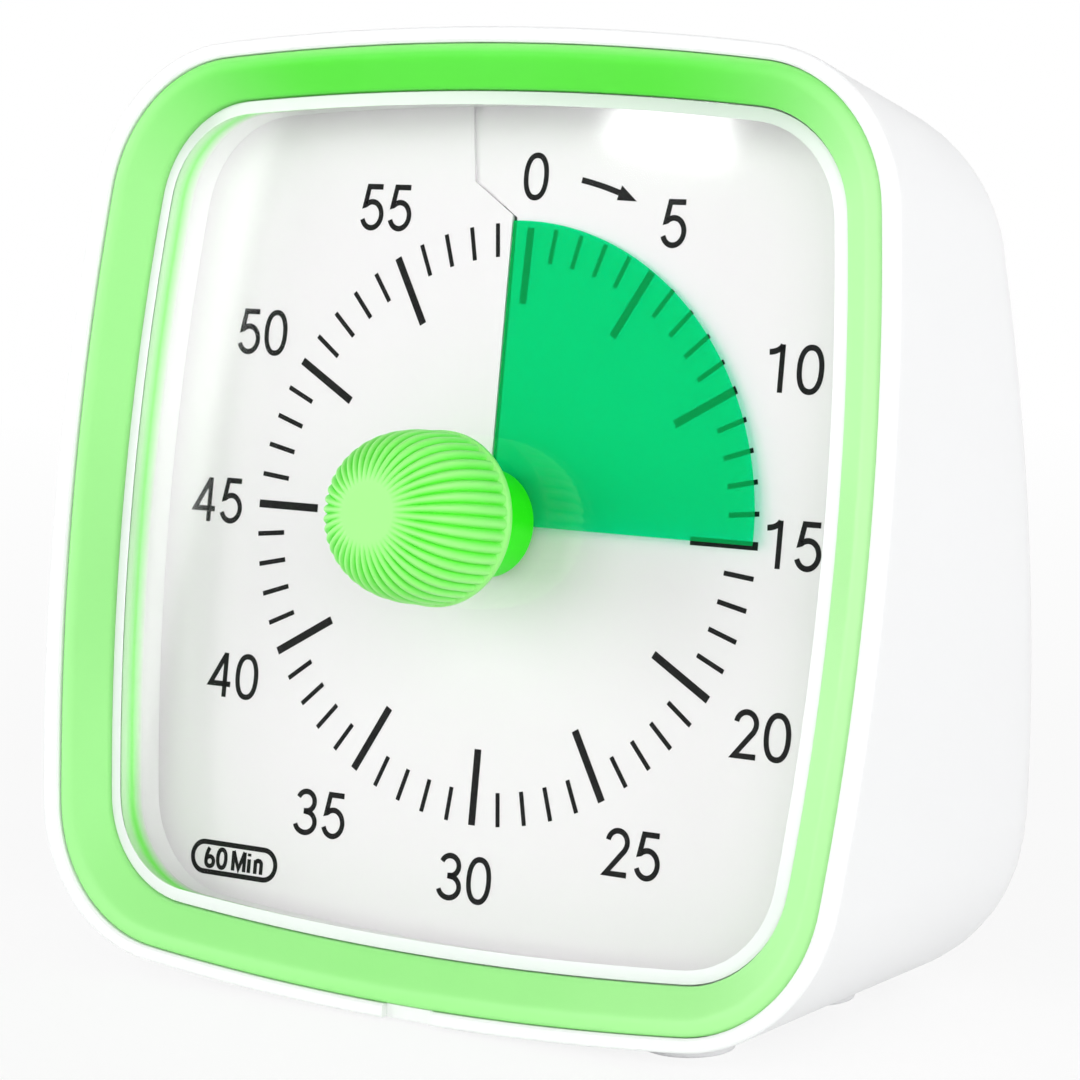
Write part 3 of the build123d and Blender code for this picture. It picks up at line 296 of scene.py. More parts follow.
finishes = {
    mouldedPlastic: {
        "housingWhite": {"tone": (0.87, 0.875, 0.88), "roughness": 0.42, "shade": 0.985, "bump": 0.08},
        # the tray and card whites are tinted a little pink, as painted light that cancels the green light bounced
        # onto them from the ring and knob
        "trayWhite": {"tone": (0.88, 0.86, 0.88), "roughness": 0.4, "shade": 0.98, "bump": 0.06},
        # bezel and knob: a paler colour painted on as sheen and highlight where the mesh marks it
        "bezelGreen": {"tone": colour(76, 228, 40), "roughness": 0.4, "bump": 0.08, "specular": 0.4,
                       "crest": colour(184, 242, 168)},
        "knobGreen": {"tone": colour(98, 240, 60), "roughness": 0.42, "bump": 0.08,
                      "crest": colour(160, 246, 134)},
        # the neck's green is lifted above its own, as painted light against the shade under the knob
        "neckGreen": {"tone": colour(52, 254, 14), "roughness": 0.4, "specular": 0.3},
        "cardWhite": {"tone": (0.895, 0.86, 0.893), "roughness": 0.55, "shade": 0.985, "bump": 0.02,
                      "specular": 0.2},
        "inkBlack": {"tone": colour(13, 13, 14), "roughness": 0.5, "shade": 0.8, "specular": 0.2},
        "naturalNylon": {"tone": (0.78, 0.76, 0.68), "roughness": 0.45, "glow": 0.1},
        "blackPlastic": {"tone": (0.022, 0.022, 0.024), "roughness": 0.4, "shade": 0.7},
        "paleRubber": {"tone": (0.86, 0.86, 0.87), "roughness": 0.75, "shade": 0.96, "bump": 0.4,
                       "grainScale": 1600.0},
        "redLead": {"tone": (0.5, 0.035, 0.03), "roughness": 0.4, "shade": 0.8},
    },
    brushedMetal: {
        "steel": {"tone": (0.62, 0.62, 0.63), "roughness": 0.26},
        "brass": {"tone": (0.78, 0.58, 0.27), "roughness": 0.24},
    },
    woundWire: {"copperWinding": {"tone": (0.7, 0.27, 0.12), "turnsPerMetre": 9000.0}},
    lacqueredBoard: {"circuitBoard": {"tone": (0.03, 0.16, 0.06)}},
    cellWrap: {"cellJacket": {"tone": (0.02, 0.035, 0.11), "bandTone": (0.66, 0.36, 0.16), "bandFrom": 0.012,
                              "endTone": (0.6, 0.6, 0.6), "endFrom": 0.0246}},
    clearPlastic: {
        "clearLens": {"mirror": 1.0},
        "lensUnderside": {"mirror": 0.15},
        # lens edge: its milky white is a painted reflection, and its grey along the top is painted shade and
        # reflection
        "lensEdge": {"tint": (0.97, 0.98, 0.98), "milkAndPaintedReflection": (0.93, 0.94, 0.96), "milkAndPaintedReflectionShare": 0.88,
                     "roughness": 0.15, "mirror": 0.25, "paintedShadeAndReflection": colour(222, 232, 224)},
        # lens skirt: all but opaque, with the ring's green painted on as a reflection over a milky grey
        "lensSkirt": {"tint": (0.9, 0.92, 0.9), "milkAndPaintedReflection": colour(226, 227, 224), "milkAndPaintedReflectionShare": 0.97,
                      "roughness": 0.4, "mirror": 0.02, "paintedShadeAndReflection": colour(104, 244, 60)},
    },
    tintedFilm: {"greenFilm": {"tone": (0.0, 0.86, 0.2), "through": (0.0, 0.82, 0.53), "share": 0.34}},
}
materials = {name: newMaterial(name, make, look) for make, looks in finishes.items()
             for name, look in looks.items()}
slotFinish = {
    "white_plastic": "trayWhite", "green_plastic": "bezelGreen", "neck_plastic": "neckGreen",
    "clear_plastic": "clearLens", "card": "cardWhite", "film": "greenFilm", "steel": "steel",
    "brass": "brass", "copper_winding": "copperWinding", "natural_plastic": "naturalNylon",
    "black_plastic": "blackPlastic", "board": "circuitBoard", "grey_rubber": "paleRubber",
    "battery_jacket": "cellJacket", "wire": "redLead",
}
nodeFinish = {"battery_door": "housingWhite"}
slotOf = {part["node"]: part["material_slot"] for part in record["subparts"]}
for name, item in frame["nodes"].items():
    item.data.materials.clear()
    item.data.materials.append(materials[nodeFinish.get(name, slotFinish[slotOf[name]])])
print("materials made")


# outlines: rounded squares with bulging sides, sampled along the same rays from the centre
outlineSizes = ("halfWidth", "top", "bottom", "sideBulge", "endBulge", "corner")


def outline(*sizes):
    return dict(zip(outlineSizes, sizes))


def picked(settings, names):
    return [settings[name] for name in names.split()]


def inset(shape, amount):
    return {name: size - amount for name, size in shape.items()}


def onArc(centre, radius, angle):
    return centre + radius * Vector((math.cos(angle), math.sin(angle)))


def quarter(shape, end):
    # centres of the side's, the end's and the corner's arcs; the angles and points where they meet
    bulge, endBulge, corner = picked(shape, "sideBulge endBulge corner")
    side, cap = Vector((shape["halfWidth"] - bulge, 0.0)), Vector((0.0, end - endBulge))
    span = cap - side
    along = ((bulge - corner) ** 2 - (endBulge - corner) ** 2 + span.length ** 2) / (2 * span.length)
    across = math.sqrt((bulge - corner) ** 2 - along ** 2)
    way = span.normalized()
    centre = side + way * along + Vector((-way.y, way.x)) * across
    low = math.atan2(centre.y - side.y, centre.x - side.x)
    high = math.atan2(centre.y - cap.y, centre.x - cap.x)
    return side, cap, centre, low, high, onArc(side, bulge, low), onArc(cap, endBulge, high)


def reach(shape, angle):
    # distance from the centre to the outline along a ray
    across, up = abs(math.cos(angle)), abs(math.sin(angle))
    end = shape["top"] if math.sin(angle) >= 0 else shape["bottom"]
    side, cap, middle, low, high, first, last = quarter(shape, end)
    radius = shape["corner"]
    slope = math.atan2(up, across)
    if slope <= math.atan2(first.y, first.x):
        middle, radius = side, shape["sideBulge"]
    elif slope >= math.atan2(last.y, last.x):
        middle, radius = cap, shape["endBulge"]
    along = Vector((across, up)).dot(middle)
    return along + math.sqrt(along ** 2 - middle.length_squared + radius ** 2)


def quarterAngles(shape, end, straightSteps, cornerSteps):
    side, cap, centre, low, high, first, last = quarter(shape, end)
    points = [Vector((shape["halfWidth"], first.y * i / straightSteps)) for i in range(straightSteps)]
    for i in range(cornerSteps):
        points.append(onArc(centre, shape["corner"], low + (high - low) * i / cornerSteps))
    points += [Vector((last.x * (1 - i / straightSteps), end)) for i in range(straightSteps)]
    return [math.atan2(p.y, p.x) for p in points]


def rayAngles(shape, straightSteps, cornerSteps):
    # rays that are evenly spread along the sides and closer at the corners
    above = quarterAngles(shape, shape["top"], straightSteps, cornerSteps)
    below = quarterAngles(shape, shape["bottom"], straightSteps, cornerSteps)[1:]
    angles = above + [math.pi / 2] + [math.pi - a for a in reversed(above)]
    angles += [math.pi + a for a in below] + [math.pi * 1.5]
    return angles + [2 * math.pi - a for a in reversed(below)]


def loop(shape, height=0.0):
    # the outline, or a circle when given a number, as points in the dial's frame
    points = []
    for angle in rays:
        away = shape if isinstance(shape, (int, float)) else reach(shape, angle)
        points.append(Vector((away * math.cos(angle), away * math.sin(angle), height)))
    return points


def circle(radius, height, steps, centre=(0.0, 0.0)):
    x, y = centre
    turns = [2 * math.pi * k / steps for k in range(steps)]
    return [Vector((x + radius * math.cos(turn), y + radius * math.sin(turn), height)) for turn in turns]


def between(first, second, share):
    return [a.lerp(b, share) for a, b in zip(first, second)]


def towards(first, second, distance):
    return [p + (q - p).normalized() * distance for p, q in zip(first, second)]


def clamped(share):
    return min(1.0, max(0.0, share))


# mesh helpers

def ringMesh(rings, capped=False, wrap=False):
    # joins loops of equally many points into a skin
    bm = bmesh.new()
    rows = [[bm.verts.new(p) for p in ring] for ring in rings]
    for a, b in zip(rows, rows[1:] + (rows[:1] if wrap else [])):
        for i in range(len(a)):
            j = (i + 1) % len(a)
            bm.faces.new((a[i], a[j], b[j], b[i]))
    if capped:
        bm.faces.new(rows[0])
        bm.faces.new(rows[-1])
    bmesh.ops.recalc_face_normals(bm, faces=bm.faces)
    return bm


def meshFrom(bm, name, place=None):
    if place is not None:
        bm.transform(place)
    mesh = bpy.data.meshes.new(name)
    bm.to_mesh(mesh)
    bm.free()
    return mesh


def turned(profile, steps, centre=(0.0, 0.0), place=None):
    # turns (radius, height) pairs about an upright axis; the profile starts and ends on the axis
    bm = ringMesh([circle(radius, height, steps, centre) for radius, height in profile], capped=True)
    bmesh.ops.remove_doubles(bm, verts=bm.verts, dist=1e-5)
    return meshFrom(bm, "turned", place)


def sleeve(profile, steps, centre):
    # turns a closed profile that stays clear of the axis
    return meshFrom(ringMesh([circle(r, z, steps, centre) for r, z in profile], wrap=True), "sleeve")


def wrapped(name, outlines):
    # a closed skin through outlines, each with its height
    return meshFrom(ringMesh([loop(shape, height) for shape, height in outlines], wrap=True), name)


def boxMesh(low, high, place=None):
    bm = bmesh.new()
    bmesh.ops.create_cube(bm, size=1.0)
    for vert in bm.verts:
        vert.co = Vector((low[i] + (vert.co[i] + 0.5) * (high[i] - low[i]) for i in range(3)))
    return meshFrom(bm, "box", place)


def faceOut(bm):
    # turns every flat face towards the reader of the dial
    bm.normal_update()
    for face in bm.faces:
        if face.normal.z < 0:
            face.normal_flip()


def sharpen(mesh, angle):
    # smooth shading that breaks at sharp edges
    bm = bmesh.new()
    bm.from_mesh(mesh)
    for face in bm.faces:
        face.smooth = True
    for edge in bm.edges:
        edge.smooth = len(edge.link_faces) != 2 or edge.calc_face_angle(0.0) < math.radians(angle)
    bm.to_mesh(mesh)
    bm.free()


def loose(name, mesh):
    piece = bpy.data.objects.new(name, mesh)
    bpy.context.scene.collection.objects.link(piece)
    return piece


def addPiece(name, mesh, finish, body, stands, angle):
    # an object at the origin; stands names the CAD nodes that it is shown in place of
    mesh.transform(dialFrame)
    sharpen(mesh, angle)
    piece = loose(name, mesh)
    if finish:
        mesh.materials.clear()
        mesh.materials.append(materials[finish])
    if body:
        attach(piece, body)
    if stands:
        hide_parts(*stands)
    return piece


def applied(piece):
    # the piece with its modifiers worked into a plain mesh
    graph = bpy.context.evaluated_depsgraph_get()
    mesh = bpy.data.meshes.new_from_object(piece.evaluated_get(graph))
    bpy.data.objects.remove(piece)
    return mesh


def cut(mesh, cutter):
    base, tool = loose("cutBase", mesh), loose("cutTool", cutter)
    modifier = base.modifiers.new("cut", "BOOLEAN")
    modifier.object = tool
    modifier.operation = "DIFFERENCE"
    modifier.solver = "EXACT"
    result = applied(base)
    bpy.data.objects.remove(tool)
    return result


def bevelled(mesh, width, angle, segments):
    piece = loose("bevelBase", mesh)
    modifier = piece.modifiers.new("bevel", "BEVEL")
    modifier.width = width
    modifier.segments = segments
    modifier.limit_method = "ANGLE"
    modifier.angle_limit = math.radians(angle)
    return applied(piece)


def joined(name, meshes):
    bm = bmesh.new()
    for mesh in meshes:
        bm.from_mesh(mesh)
    return meshFrom(bm, name)


def geometryMesh(name, build, inputs):
    # runs a Geometry Nodes tree with named inputs and returns its plain mesh
    tree = bpy.data.node_groups.new(name, "GeometryNodeTree")
    face = tree.interface
    face.new_socket("Geometry", in_out="OUTPUT", socket_type="NodeSocketGeometry")
    sockets = {}
    for key, given in inputs.items():
        kind = "NodeSocketInt" if isinstance(given, int) else "NodeSocketFloat"
        sockets[key] = face.new_socket(key, in_out="INPUT", socket_type=kind)
    maker = Maker(tree)
    entry = maker.node("NodeGroupInput")
    shape = build(maker, **{key: Value(maker, entry.outputs[key]) for key in inputs})
    real = maker.out("GeometryNodeRealizeInstances", {}, {0: shape})
    done = maker.out("GeometryNodeSetMaterial", {}, {"Geometry": real, "Material": materials["trayWhite"]})
    maker.node("NodeGroupOutput", {}, {0: done})
    holder = loose(name, bpy.data.meshes.new(name))
    modifier = holder.modifiers.new(name, "NODES")
    modifier.node_group = tree
    for key, socket in sockets.items():
        modifier[socket.identifier] = inputs[key]
    return applied(holder)


# camera, at the viewing angle
viewpoint = {
    "place": (7.0858, -10.2192, 1.6084),  # from the dial's centre, in scale radii
    "right": (0.8282, 0.5604, -0.0005),
    "up": (-0.0739, 0.1100, 0.9912),
    "ahead": (-0.5556, 0.8209, -0.1325),
    "scaleRadius": 0.026,
    "lens": 125.707,
    "sensor": 36.0,
    "clipStart": 0.01,
}
cameraData = bpy.data.cameras.new("camera")
cameraData.lens = viewpoint["lens"]
cameraData.sensor_width = viewpoint["sensor"]
cameraData.clip_start = viewpoint["clipStart"]
camera = loose("camera", cameraData)
backwards = tuple(-part for part in viewpoint["ahead"])
aimed = Matrix((viewpoint["right"], viewpoint["up"], backwards)).transposed()
standing = dialCentre + Vector(viewpoint["place"]) * viewpoint["scaleRadius"]
camera.matrix_world = Matrix.Translation(standing) @ aimed.to_4x4()
bpy.context.scene.camera = camera
print("camera placed")


# housing: front lip, long sides, rounded back wall, and the openings in it
housing = {
    "front": outline(42.98, 41.86, 42.64, 239.0, 283.0, 14.9),
    "back": outline(40.86, 40.0, 36.5763, 222.0, 730.0, 15.1),
    "mouth": outline(41.22, 40.52, 41.4, 239.0, 283.0, 13.3),
    "straightSteps": 12, "cornerSteps": 20, "roundSteps": 12, "innerRoundSteps": 6,
    "lip": 8.58, "mouthDepth": 1.8, "wall": 2.0, "backDepth": 28.6, "backSlant": 16.1, "backRound": 12.0,
    "lipEdge": 0.22, "lipRoll": 0.29, "mouthEdge": 0.6, "sideRings": (0.3, 0.6, 0.85),
    "bevel": {"width": 0.12, "angle": 40, "segments": 2},
    "door": {"half": (28.4, 9.6), "middle": -13.5306, "gap": 0.3, "thick": 1.6, "ledge": 1.6, "lift": 0.02,
             "cutFrom": -9, "cutPast": 0.6},
    "bay": (27.15, 7.7),
    "screws": {"x": 27.6, "others": (-27.5, 24.0), "recess": 2.65, "post": 3.7, "hole": 1.55, "lift": 0.6,
               "seat": -13.0, "meet": -9.05, "cutFrom": -60, "cutTo": -16, "steps": 40},
    "switch": {"place": (-9.0, 9.5), "half": (3.45, 1.45), "recess": 0.7, "margin": 1.0, "cutPast": 1},
    "grille": {"place": (9.0, 9.5, 1.0), "nodes": {"pitch": 2.0870, "hole": 0.75, "depth": 6.0}},
    "notch": {"width": 4.9, "offset": 0.8, "depth": 0.7, "reach": 1.3, "cutPast": 2},
    "feet": {"x": 24.0, "others": (8.0, 28.0), "recess": 4.1, "proud": 0.3, "cutFrom": -2, "cutTo": 2.0,
             "steps": 48},
}
rays = rayAngles(housing["front"], housing["straightSteps"], housing["cornerSteps"])
slant = math.radians(housing["backSlant"])
backFrame = Matrix((
    (1, 0, 0, 0),
    (0, math.cos(slant), -math.sin(slant), 0),
    (0, math.sin(slant), math.cos(slant), -housing["backDepth"]),
    (0, 0, 0, 1),
))
lean = math.atan2(outWay.z, -outWay.y)
proud = housing["feet"]["proud"]
floorFrame = Matrix((
    (1, 0, 0, 0),
    (0, math.sin(lean), math.cos(lean), -housing["front"]["bottom"] - proud * math.cos(lean)),
    (0, -math.cos(lean), math.sin(lean), housing["lip"] - proud * math.sin(lean)),
    (0, 0, 0, 1),
))


def spots(holes):
    # the same places on the left and on the right
    return [(side * holes["x"], other) for side in (-1, 1) for other in holes["others"]]


def roundedLoft(frontLoop, backLoop, radius, steps):
    # the ruled side with a soft edge to the back wall, from the back inwards to the front
    count = len(frontLoop)
    normal = Vector((0, -math.sin(slant), math.cos(slant)))
    arcs = [[] for _ in range(steps + 1)]
    for i in range(count):
        corner, tip = backLoop[i], frontLoop[i]
        tangent = (backLoop[(i + 1) % count] - backLoop[i - 1]).normalized()
        inward = normal.cross(tangent).normalized()
        side = (tip - corner).normalized()
        opening = side.angle(inward)
        run = radius / math.tan(opening / 2)
        centre = corner + (side + inward).normalized() * radius / math.sin(opening / 2)
        start = corner + inward * run - centre
        end = corner + side * run - centre
        sweep = start.angle(end)
        for k in range(steps + 1):
            share = k / steps
            spot = start * math.sin((1 - share) * sweep) + end * math.sin(share * sweep)
            arcs[k].append(centre + spot / math.sin(sweep))
    return arcs


def onBack(shape, offset):
    return [backFrame @ (p + Vector((0, 0, offset))) for p in loop(shape)]


def backBox(place, halfX, halfY, low, high):
    x, y = place
    return boxMesh((x - halfX, y - halfY, low), (x + halfX, y + halfY, high), backFrame)


def grilleCutter(maker, pitch, hole, depth, sides=20):
    # one hole in the middle, a ring of six and a ring of twelve
    points = maker.node("GeometryNodeJoinGeometry")
    rings = [maker.out("GeometryNodeMeshCircle", {"fill_type": "NONE"}, {
        "Vertices": count, "Radius": pitch * (count / 6)}) for count in (6, 12)]
    for ring in (*rings, maker.out("GeometryNodeMeshLine", {}, {"Count": 1})):
        maker.feed(points.inputs[0], maker.out("GeometryNodeMeshToPoints", {}, {"Mesh": ring}))
    drill = maker.out("GeometryNodeMeshCylinder", {}, {"Vertices": sides, "Radius": hole, "Depth": depth})
    return maker.out("GeometryNodeInstanceOnPoints", {}, {"Points": points.outputs[0], "Instance": drill})


def housingMesh():
    sizes = housing
    wall, edge = sizes["wall"], sizes["lipEdge"]
    seat = sizes["lip"] - sizes["mouthDepth"]
    front, mouth = loop(sizes["front"], sizes["lip"]), loop(sizes["mouth"], sizes["lip"])
    outer = roundedLoft(front, onBack(sizes["back"], 0.0), sizes["backRound"], sizes["roundSteps"])
    flank = outer[-1]
    rolled = [p + ((q - p).normalized() + (r - p).normalized()) * edge * sizes["lipRoll"]
              for p, q, r in zip(front, flank, mouth)]
    inner = roundedLoft(loop(sizes["mouth"], seat), onBack(inset(sizes["back"], wall), wall),
                        sizes["backRound"] - wall, sizes["innerRoundSteps"])
    rings = [
        *outer, *[between(flank, front, share) for share in sizes["sideRings"]],
        towards(front, flank, edge), rolled, towards(front, mouth, edge), towards(mouth, front, edge),
        [p + Vector((0, 0, -edge * sizes["mouthEdge"])) for p in mouth], loop(sizes["mouth"], seat),
    ]
    rings += [between(rings[-1], inner[-1], 0.5), *reversed(inner)]
    return meshFrom(ringMesh(rings, capped=True), "housingShell")


def housingCutters():
    wall, bottom, top = housing["wall"], housing["front"]["bottom"], housing["lip"]
    door, switch, screws, feet, notch = picked(housing, "door switch screws feet notch")
    doorX, doorY = (half + door["gap"] for half in door["half"])
    halfX, halfY = switch["half"]
    margin, past = switch["margin"], switch["cutPast"]
    tools = [backBox((0, door["middle"]), doorX, doorY, door["cutFrom"], wall + door["cutPast"]),
             backBox(switch["place"], halfX, halfY, -past, wall + past)]
    recess = backBox(switch["place"], halfX + margin, halfY + margin, -past, switch["recess"])
    for hole, place in ((screws, None), (feet, floorFrame)):
        radius, low, high = picked(hole, "recess cutFrom cutTo")
        profile = [(0, low), (radius, low), (radius, high), (0, high)]
        tools += [turned(profile, hole["steps"], spot, place) for spot in spots(hole)]
    half, past = notch["width"] / 2, notch["cutPast"]
    tools.append(boxMesh((notch["offset"] - half, -bottom - past, top - notch["depth"]),
                         (notch["offset"] + half, -bottom + notch["reach"], top + past)))
    grille = geometryMesh("grilleHoles", grilleCutter, housing["grille"]["nodes"])
    grille.transform(backFrame @ Matrix.Translation(housing["grille"]["place"]))
    return joined("housingTools", tools + [grille]), recess


def housingInside():
    # screw posts and the frame that the door closes on
    screws, door = housing["screws"], housing["door"]
    recess, hole, post, seat, meet = picked(screws, "recess hole post seat meet")
    parts = []
    for x, y in spots(screws):
        base = -housing["backDepth"] + y * math.tan(slant) + housing["wall"] + screws["lift"]
        profile = [(recess, base), (recess, seat), (hole, seat), (hole, meet), (post, meet), (post, base)]
        parts.append(sleeve(profile, screws["steps"], (x, y)))
    low, high = housing["wall"] + door["lift"], door["thick"] + door["gap"] + door["ledge"]
    wide, tall = (half + door["ledge"] for half in door["half"])
    bayX, bayY = housing["bay"]
    rings = []
    for halfX, halfY, level in ((wide, tall, low), (wide, tall, high), (bayX, bayY, high), (bayX, bayY, low)):
        rings.append([backFrame @ Vector((x * halfX, door["middle"] + y * halfY, level))
                      for x, y in ((-1, -1), (1, -1), (1, 1), (-1, 1))])
    return parts + [meshFrom(ringMesh(rings, wrap=True), "doorFrame")]


tools, recess = housingCutters()
shell = bevelled(cut(cut(housingMesh(), recess), tools), **housing["bevel"])
shell = joined("housingBody", [shell] + housingInside())
addPiece("housingBody", shell, "housingWhite", "case", ["housing"], angle=20)
print("housing made")


# bezel: an outer band, a soft crease, then a slope down to the window; painted sheen makes it paler at the left,
# right and bottom, and a painted highlight runs along the outer edge
bezel = {
    "outer": inset(housing["mouth"], 0.06),
    "window": outline(37.1, 36.8, 37.25, 230.0, 312.0, 10.0),
    "profile": [  # share of the way in, height
        (0.0, 6.78), (0.0, 8.05), (0.012, 8.2), (0.04, 8.33), (0.085, 8.4), (0.14, 8.43), (0.22, 8.45),
        (0.3, 8.42), (0.36, 8.34), (0.42, 8.2), (0.5, 7.98), (0.62, 7.64), (0.76, 7.25), (0.88, 6.92),
        (0.955, 6.7), (0.985, 6.6), (1.0, 6.46), (1.0, 5.6)],
    "skirt": [(1.6, 5.6), (1.6, 3.0), (0.8, 3.0), (0.8, 5.6), (0.8, 6.78)],  # inset, height
    # painted sheen: paler all round, more towards the right, none along the top, and a painted highlight along the
    # outer edge
    "paintedPaleFrom": 0.66, "paintedPaleRight": 0.34, "topFrom": 0.6, "topReach": 0.33, "paintedPaleEdge": 0.2,
}


def bezelMesh():
    outerLoop, innerLoop = loop(bezel["outer"]), loop(bezel["window"])
    rings = [[Vector((p.x, p.y, height)) for p in between(outerLoop, innerLoop, share)]
             for share, height in bezel["profile"]]
    rings += [loop(inset(bezel["outer"], amount), height) for amount, height in bezel["skirt"]]
    mesh = meshFrom(ringMesh(rings, wrap=True), "bezelRing")
    paintedPale = mesh.attributes.new("crest", "FLOAT", "POINT")  # painted sheen: how much paler it is; full green along the top
    inwards = [share for share, height in bezel["profile"]] + [1.0] * len(bezel["skirt"])
    # painted sheen and highlight, standing in for light: paler towards the left, right and bottom and near the
    # outer edge
    for vertex in mesh.vertices:
        across, high = vertex.co.xy.normalized()
        top = clamped((high - bezel["topFrom"]) / bezel["topReach"])
        share = bezel["paintedPaleFrom"] + bezel["paintedPaleRight"] * max(0.0, across) ** 2
        edge = bezel["paintedPaleFrom"] * max(0.0, 1 - inwards[vertex.index // len(rays)] / bezel["paintedPaleEdge"])
        paintedPale.data[vertex.index].value = max(edge, share * (1 - top * top * (3 - 2 * top)))
    return mesh


addPiece("bezelRing", bezelMesh(), "bezelGreen", "case", ["bezel_ring"], angle=40)
print("bezel made")


# lens: flat clear face with a slanted edge, a flange and a skirt
lens = {
    "front": 6.3, "thick": 0.85, "gap": 0.15, "edgeWide": 1.15, "edgeDrop": 0.18, "hole": 5.08,
    "holeEdge": 0.15, "holeNear": 0.1, "flangeOut": 0.95, "flangeThick": 0.8, "flangeTop": 5.6,
    "skirtOut": 0.3, "skirtWall": 1.0, "skirtEnd": 2.6, "green": 0.5,
    "paintedGreenBelow": ((5.0, 0.5), (4.9, 1.0), (3.98, 1.0), (3.88, 0.0)),  # height, how green it is below that: the ring's green painted on as a reflection
    "paintedGreyFrom": 0.62, "paintedGreyReach": 0.12, "near": 0.01,
}


def lensMesh():
    sizes, window, hole, front, top = lens, bezel["window"], lens["hole"], lens["front"], lens["flangeTop"]
    near, end = sizes["near"], sizes["skirtEnd"]
    under, ledge = front - sizes["thick"], top - sizes["flangeThick"]
    raised, flange = inset(window, sizes["gap"]), inset(window, -sizes["flangeOut"])
    skirt = inset(window, -sizes["skirtOut"])
    inner = inset(skirt, sizes["skirtWall"])
    mesh = wrapped("lensCover", [
        (hole, under), (hole, front - sizes["holeEdge"]), (hole + sizes["holeEdge"], front),
        (inset(raised, sizes["edgeWide"]), front), (raised, front - sizes["edgeDrop"]), (raised, top),
        (flange, top), (flange, ledge), (skirt, ledge), (skirt, end), (inner, end),
        *[(inner, level) for level, green in reversed(sizes["paintedGreenBelow"])], (inner, under),
    ])
    for name in ("clearLens", "lensEdge", "lensSkirt", "lensUnderside"):
        mesh.materials.append(materials[name])
    for face in mesh.polygons:
        heights = [mesh.vertices[i].co.z for i in face.vertices]
        low, high, away = min(heights), max(heights), face.center.xy.length
        if away > 2 * hole and high > front - near > low:
            face.material_index = 1
        elif high < under + near and low < under - near:
            face.material_index = 2
        elif high < under + near or away < hole + sizes["holeNear"]:
            face.material_index = 3
    # painted shade and reflection: greyer along the top of the slanted edge; the ring's green painted on as a
    # reflection in the upper part of the skirt
    paintedShadeAndReflection = mesh.attributes.new("paintedShadeAndReflection", "FLOAT", "POINT")
    for vertex in mesh.vertices:
        value = clamped((vertex.co.y / vertex.co.xy.length - sizes["paintedGreyFrom"]) / sizes["paintedGreyReach"])
        if vertex.co.z < under + near:
            value = sizes["green"]
            for level, green in sizes["paintedGreenBelow"]:
                value = green if vertex.co.z < level - near else value
        paintedShadeAndReflection.data[vertex.index].value = value
    return mesh


addPiece("lensCover", lensMesh(), None, "case", ["lens"], angle=8)
print("lens made")


# tray: walls round the window, and the floor behind the card
tray = {"wallInset": 0.5, "wall": 1.2, "floor": 2.5, "cardThick": 0.3, "top": 5.5, "wellRadius": 27.7,
        "wellDepth": 1.3, "hole": 2.5, "ledge": 4.8, "flange": 1.05, "footInset": 0.6, "footLow": 0.03,
        "footHigh": 1.6, "pilot": 1.05, "postTop": -9.0, "postEdge": 0.15}


def trayMesh():
    sizes, window, screws = tray, bezel["window"], housing["screws"]
    hole, wellRadius, top, ledge, footLow = picked(tray, "hole wellRadius top ledge footLow")
    inner = inset(window, -sizes["wallInset"])
    outer, rebate = inset(inner, -sizes["wall"]), inset(window, -sizes["flange"])
    bed = -sizes["cardThick"]
    back, well = bed - sizes["floor"], bed - sizes["wellDepth"]
    body = wrapped("trayBody", [
        (hole, back), (hole, well), (wellRadius, well), (wellRadius, bed), (inner, bed), (inner, footLow),
        (inset(window, sizes["footInset"]), footLow), (inner, sizes["footHigh"]), (inner, ledge),
        (rebate, ledge), (rebate, top), (outer, top), (outer, back),
    ])
    pilot, meet, edge = picked(tray, "pilot postTop postEdge")
    post = screws["post"]
    profile = [(pilot, back), (pilot, meet), (post - edge, meet), (post, meet + edge), (post, back)]
    return joined("dialTray", [body] + [sleeve(profile, screws["steps"], spot) for spot in spots(screws)])


addPiece("dialTray", trayMesh(), "trayWhite", "case", ["dial_tray"], angle=30)


# card with its slit
card = {"gap": 0.04, "thick": 0.3, "hole": 3.4, "slitWide": 0.5, "slitX": -1.0, "turnAt": 26.8,
        "knee": (-5.3, 29.6), "endX": -6.5, "endWide": 1.8, "cutPast": 2, "cutLevels": (-1.0, 1.0)}


def cardMesh():
    sizes, hole, low = card, card["hole"], -card["thick"]
    shape = inset(inset(bezel["window"], -tray["wallInset"]), sizes["gap"])
    body = wrapped("cardBody", [(hole, 0.0), (shape, 0.0), (shape, low), (hole, low)])
    x, turnAt, endX = picked(card, "slitX turnAt endX")
    half, endHalf = sizes["slitWide"] / 2, sizes["endWide"] / 2
    top = housing["front"]["top"] + sizes["cutPast"]
    kneeX, kneeY = sizes["knee"]
    path = [(x + half, 0), (x + half, turnAt - half), (kneeX + half, kneeY), (endX + endHalf, top),
            (endX - endHalf, top), (kneeX - half, kneeY), (x - half, turnAt), (x - half, 0)]
    rings = [[Vector((*point, level)) for point in path] for level in sizes["cutLevels"]]
    return cut(body, meshFrom(ringMesh(rings, capped=True), "slitTool"))


addPiece("dialCard", cardMesh(), "cardWhite", "case", ["dial_card"], angle=30)
print("tray and card made")


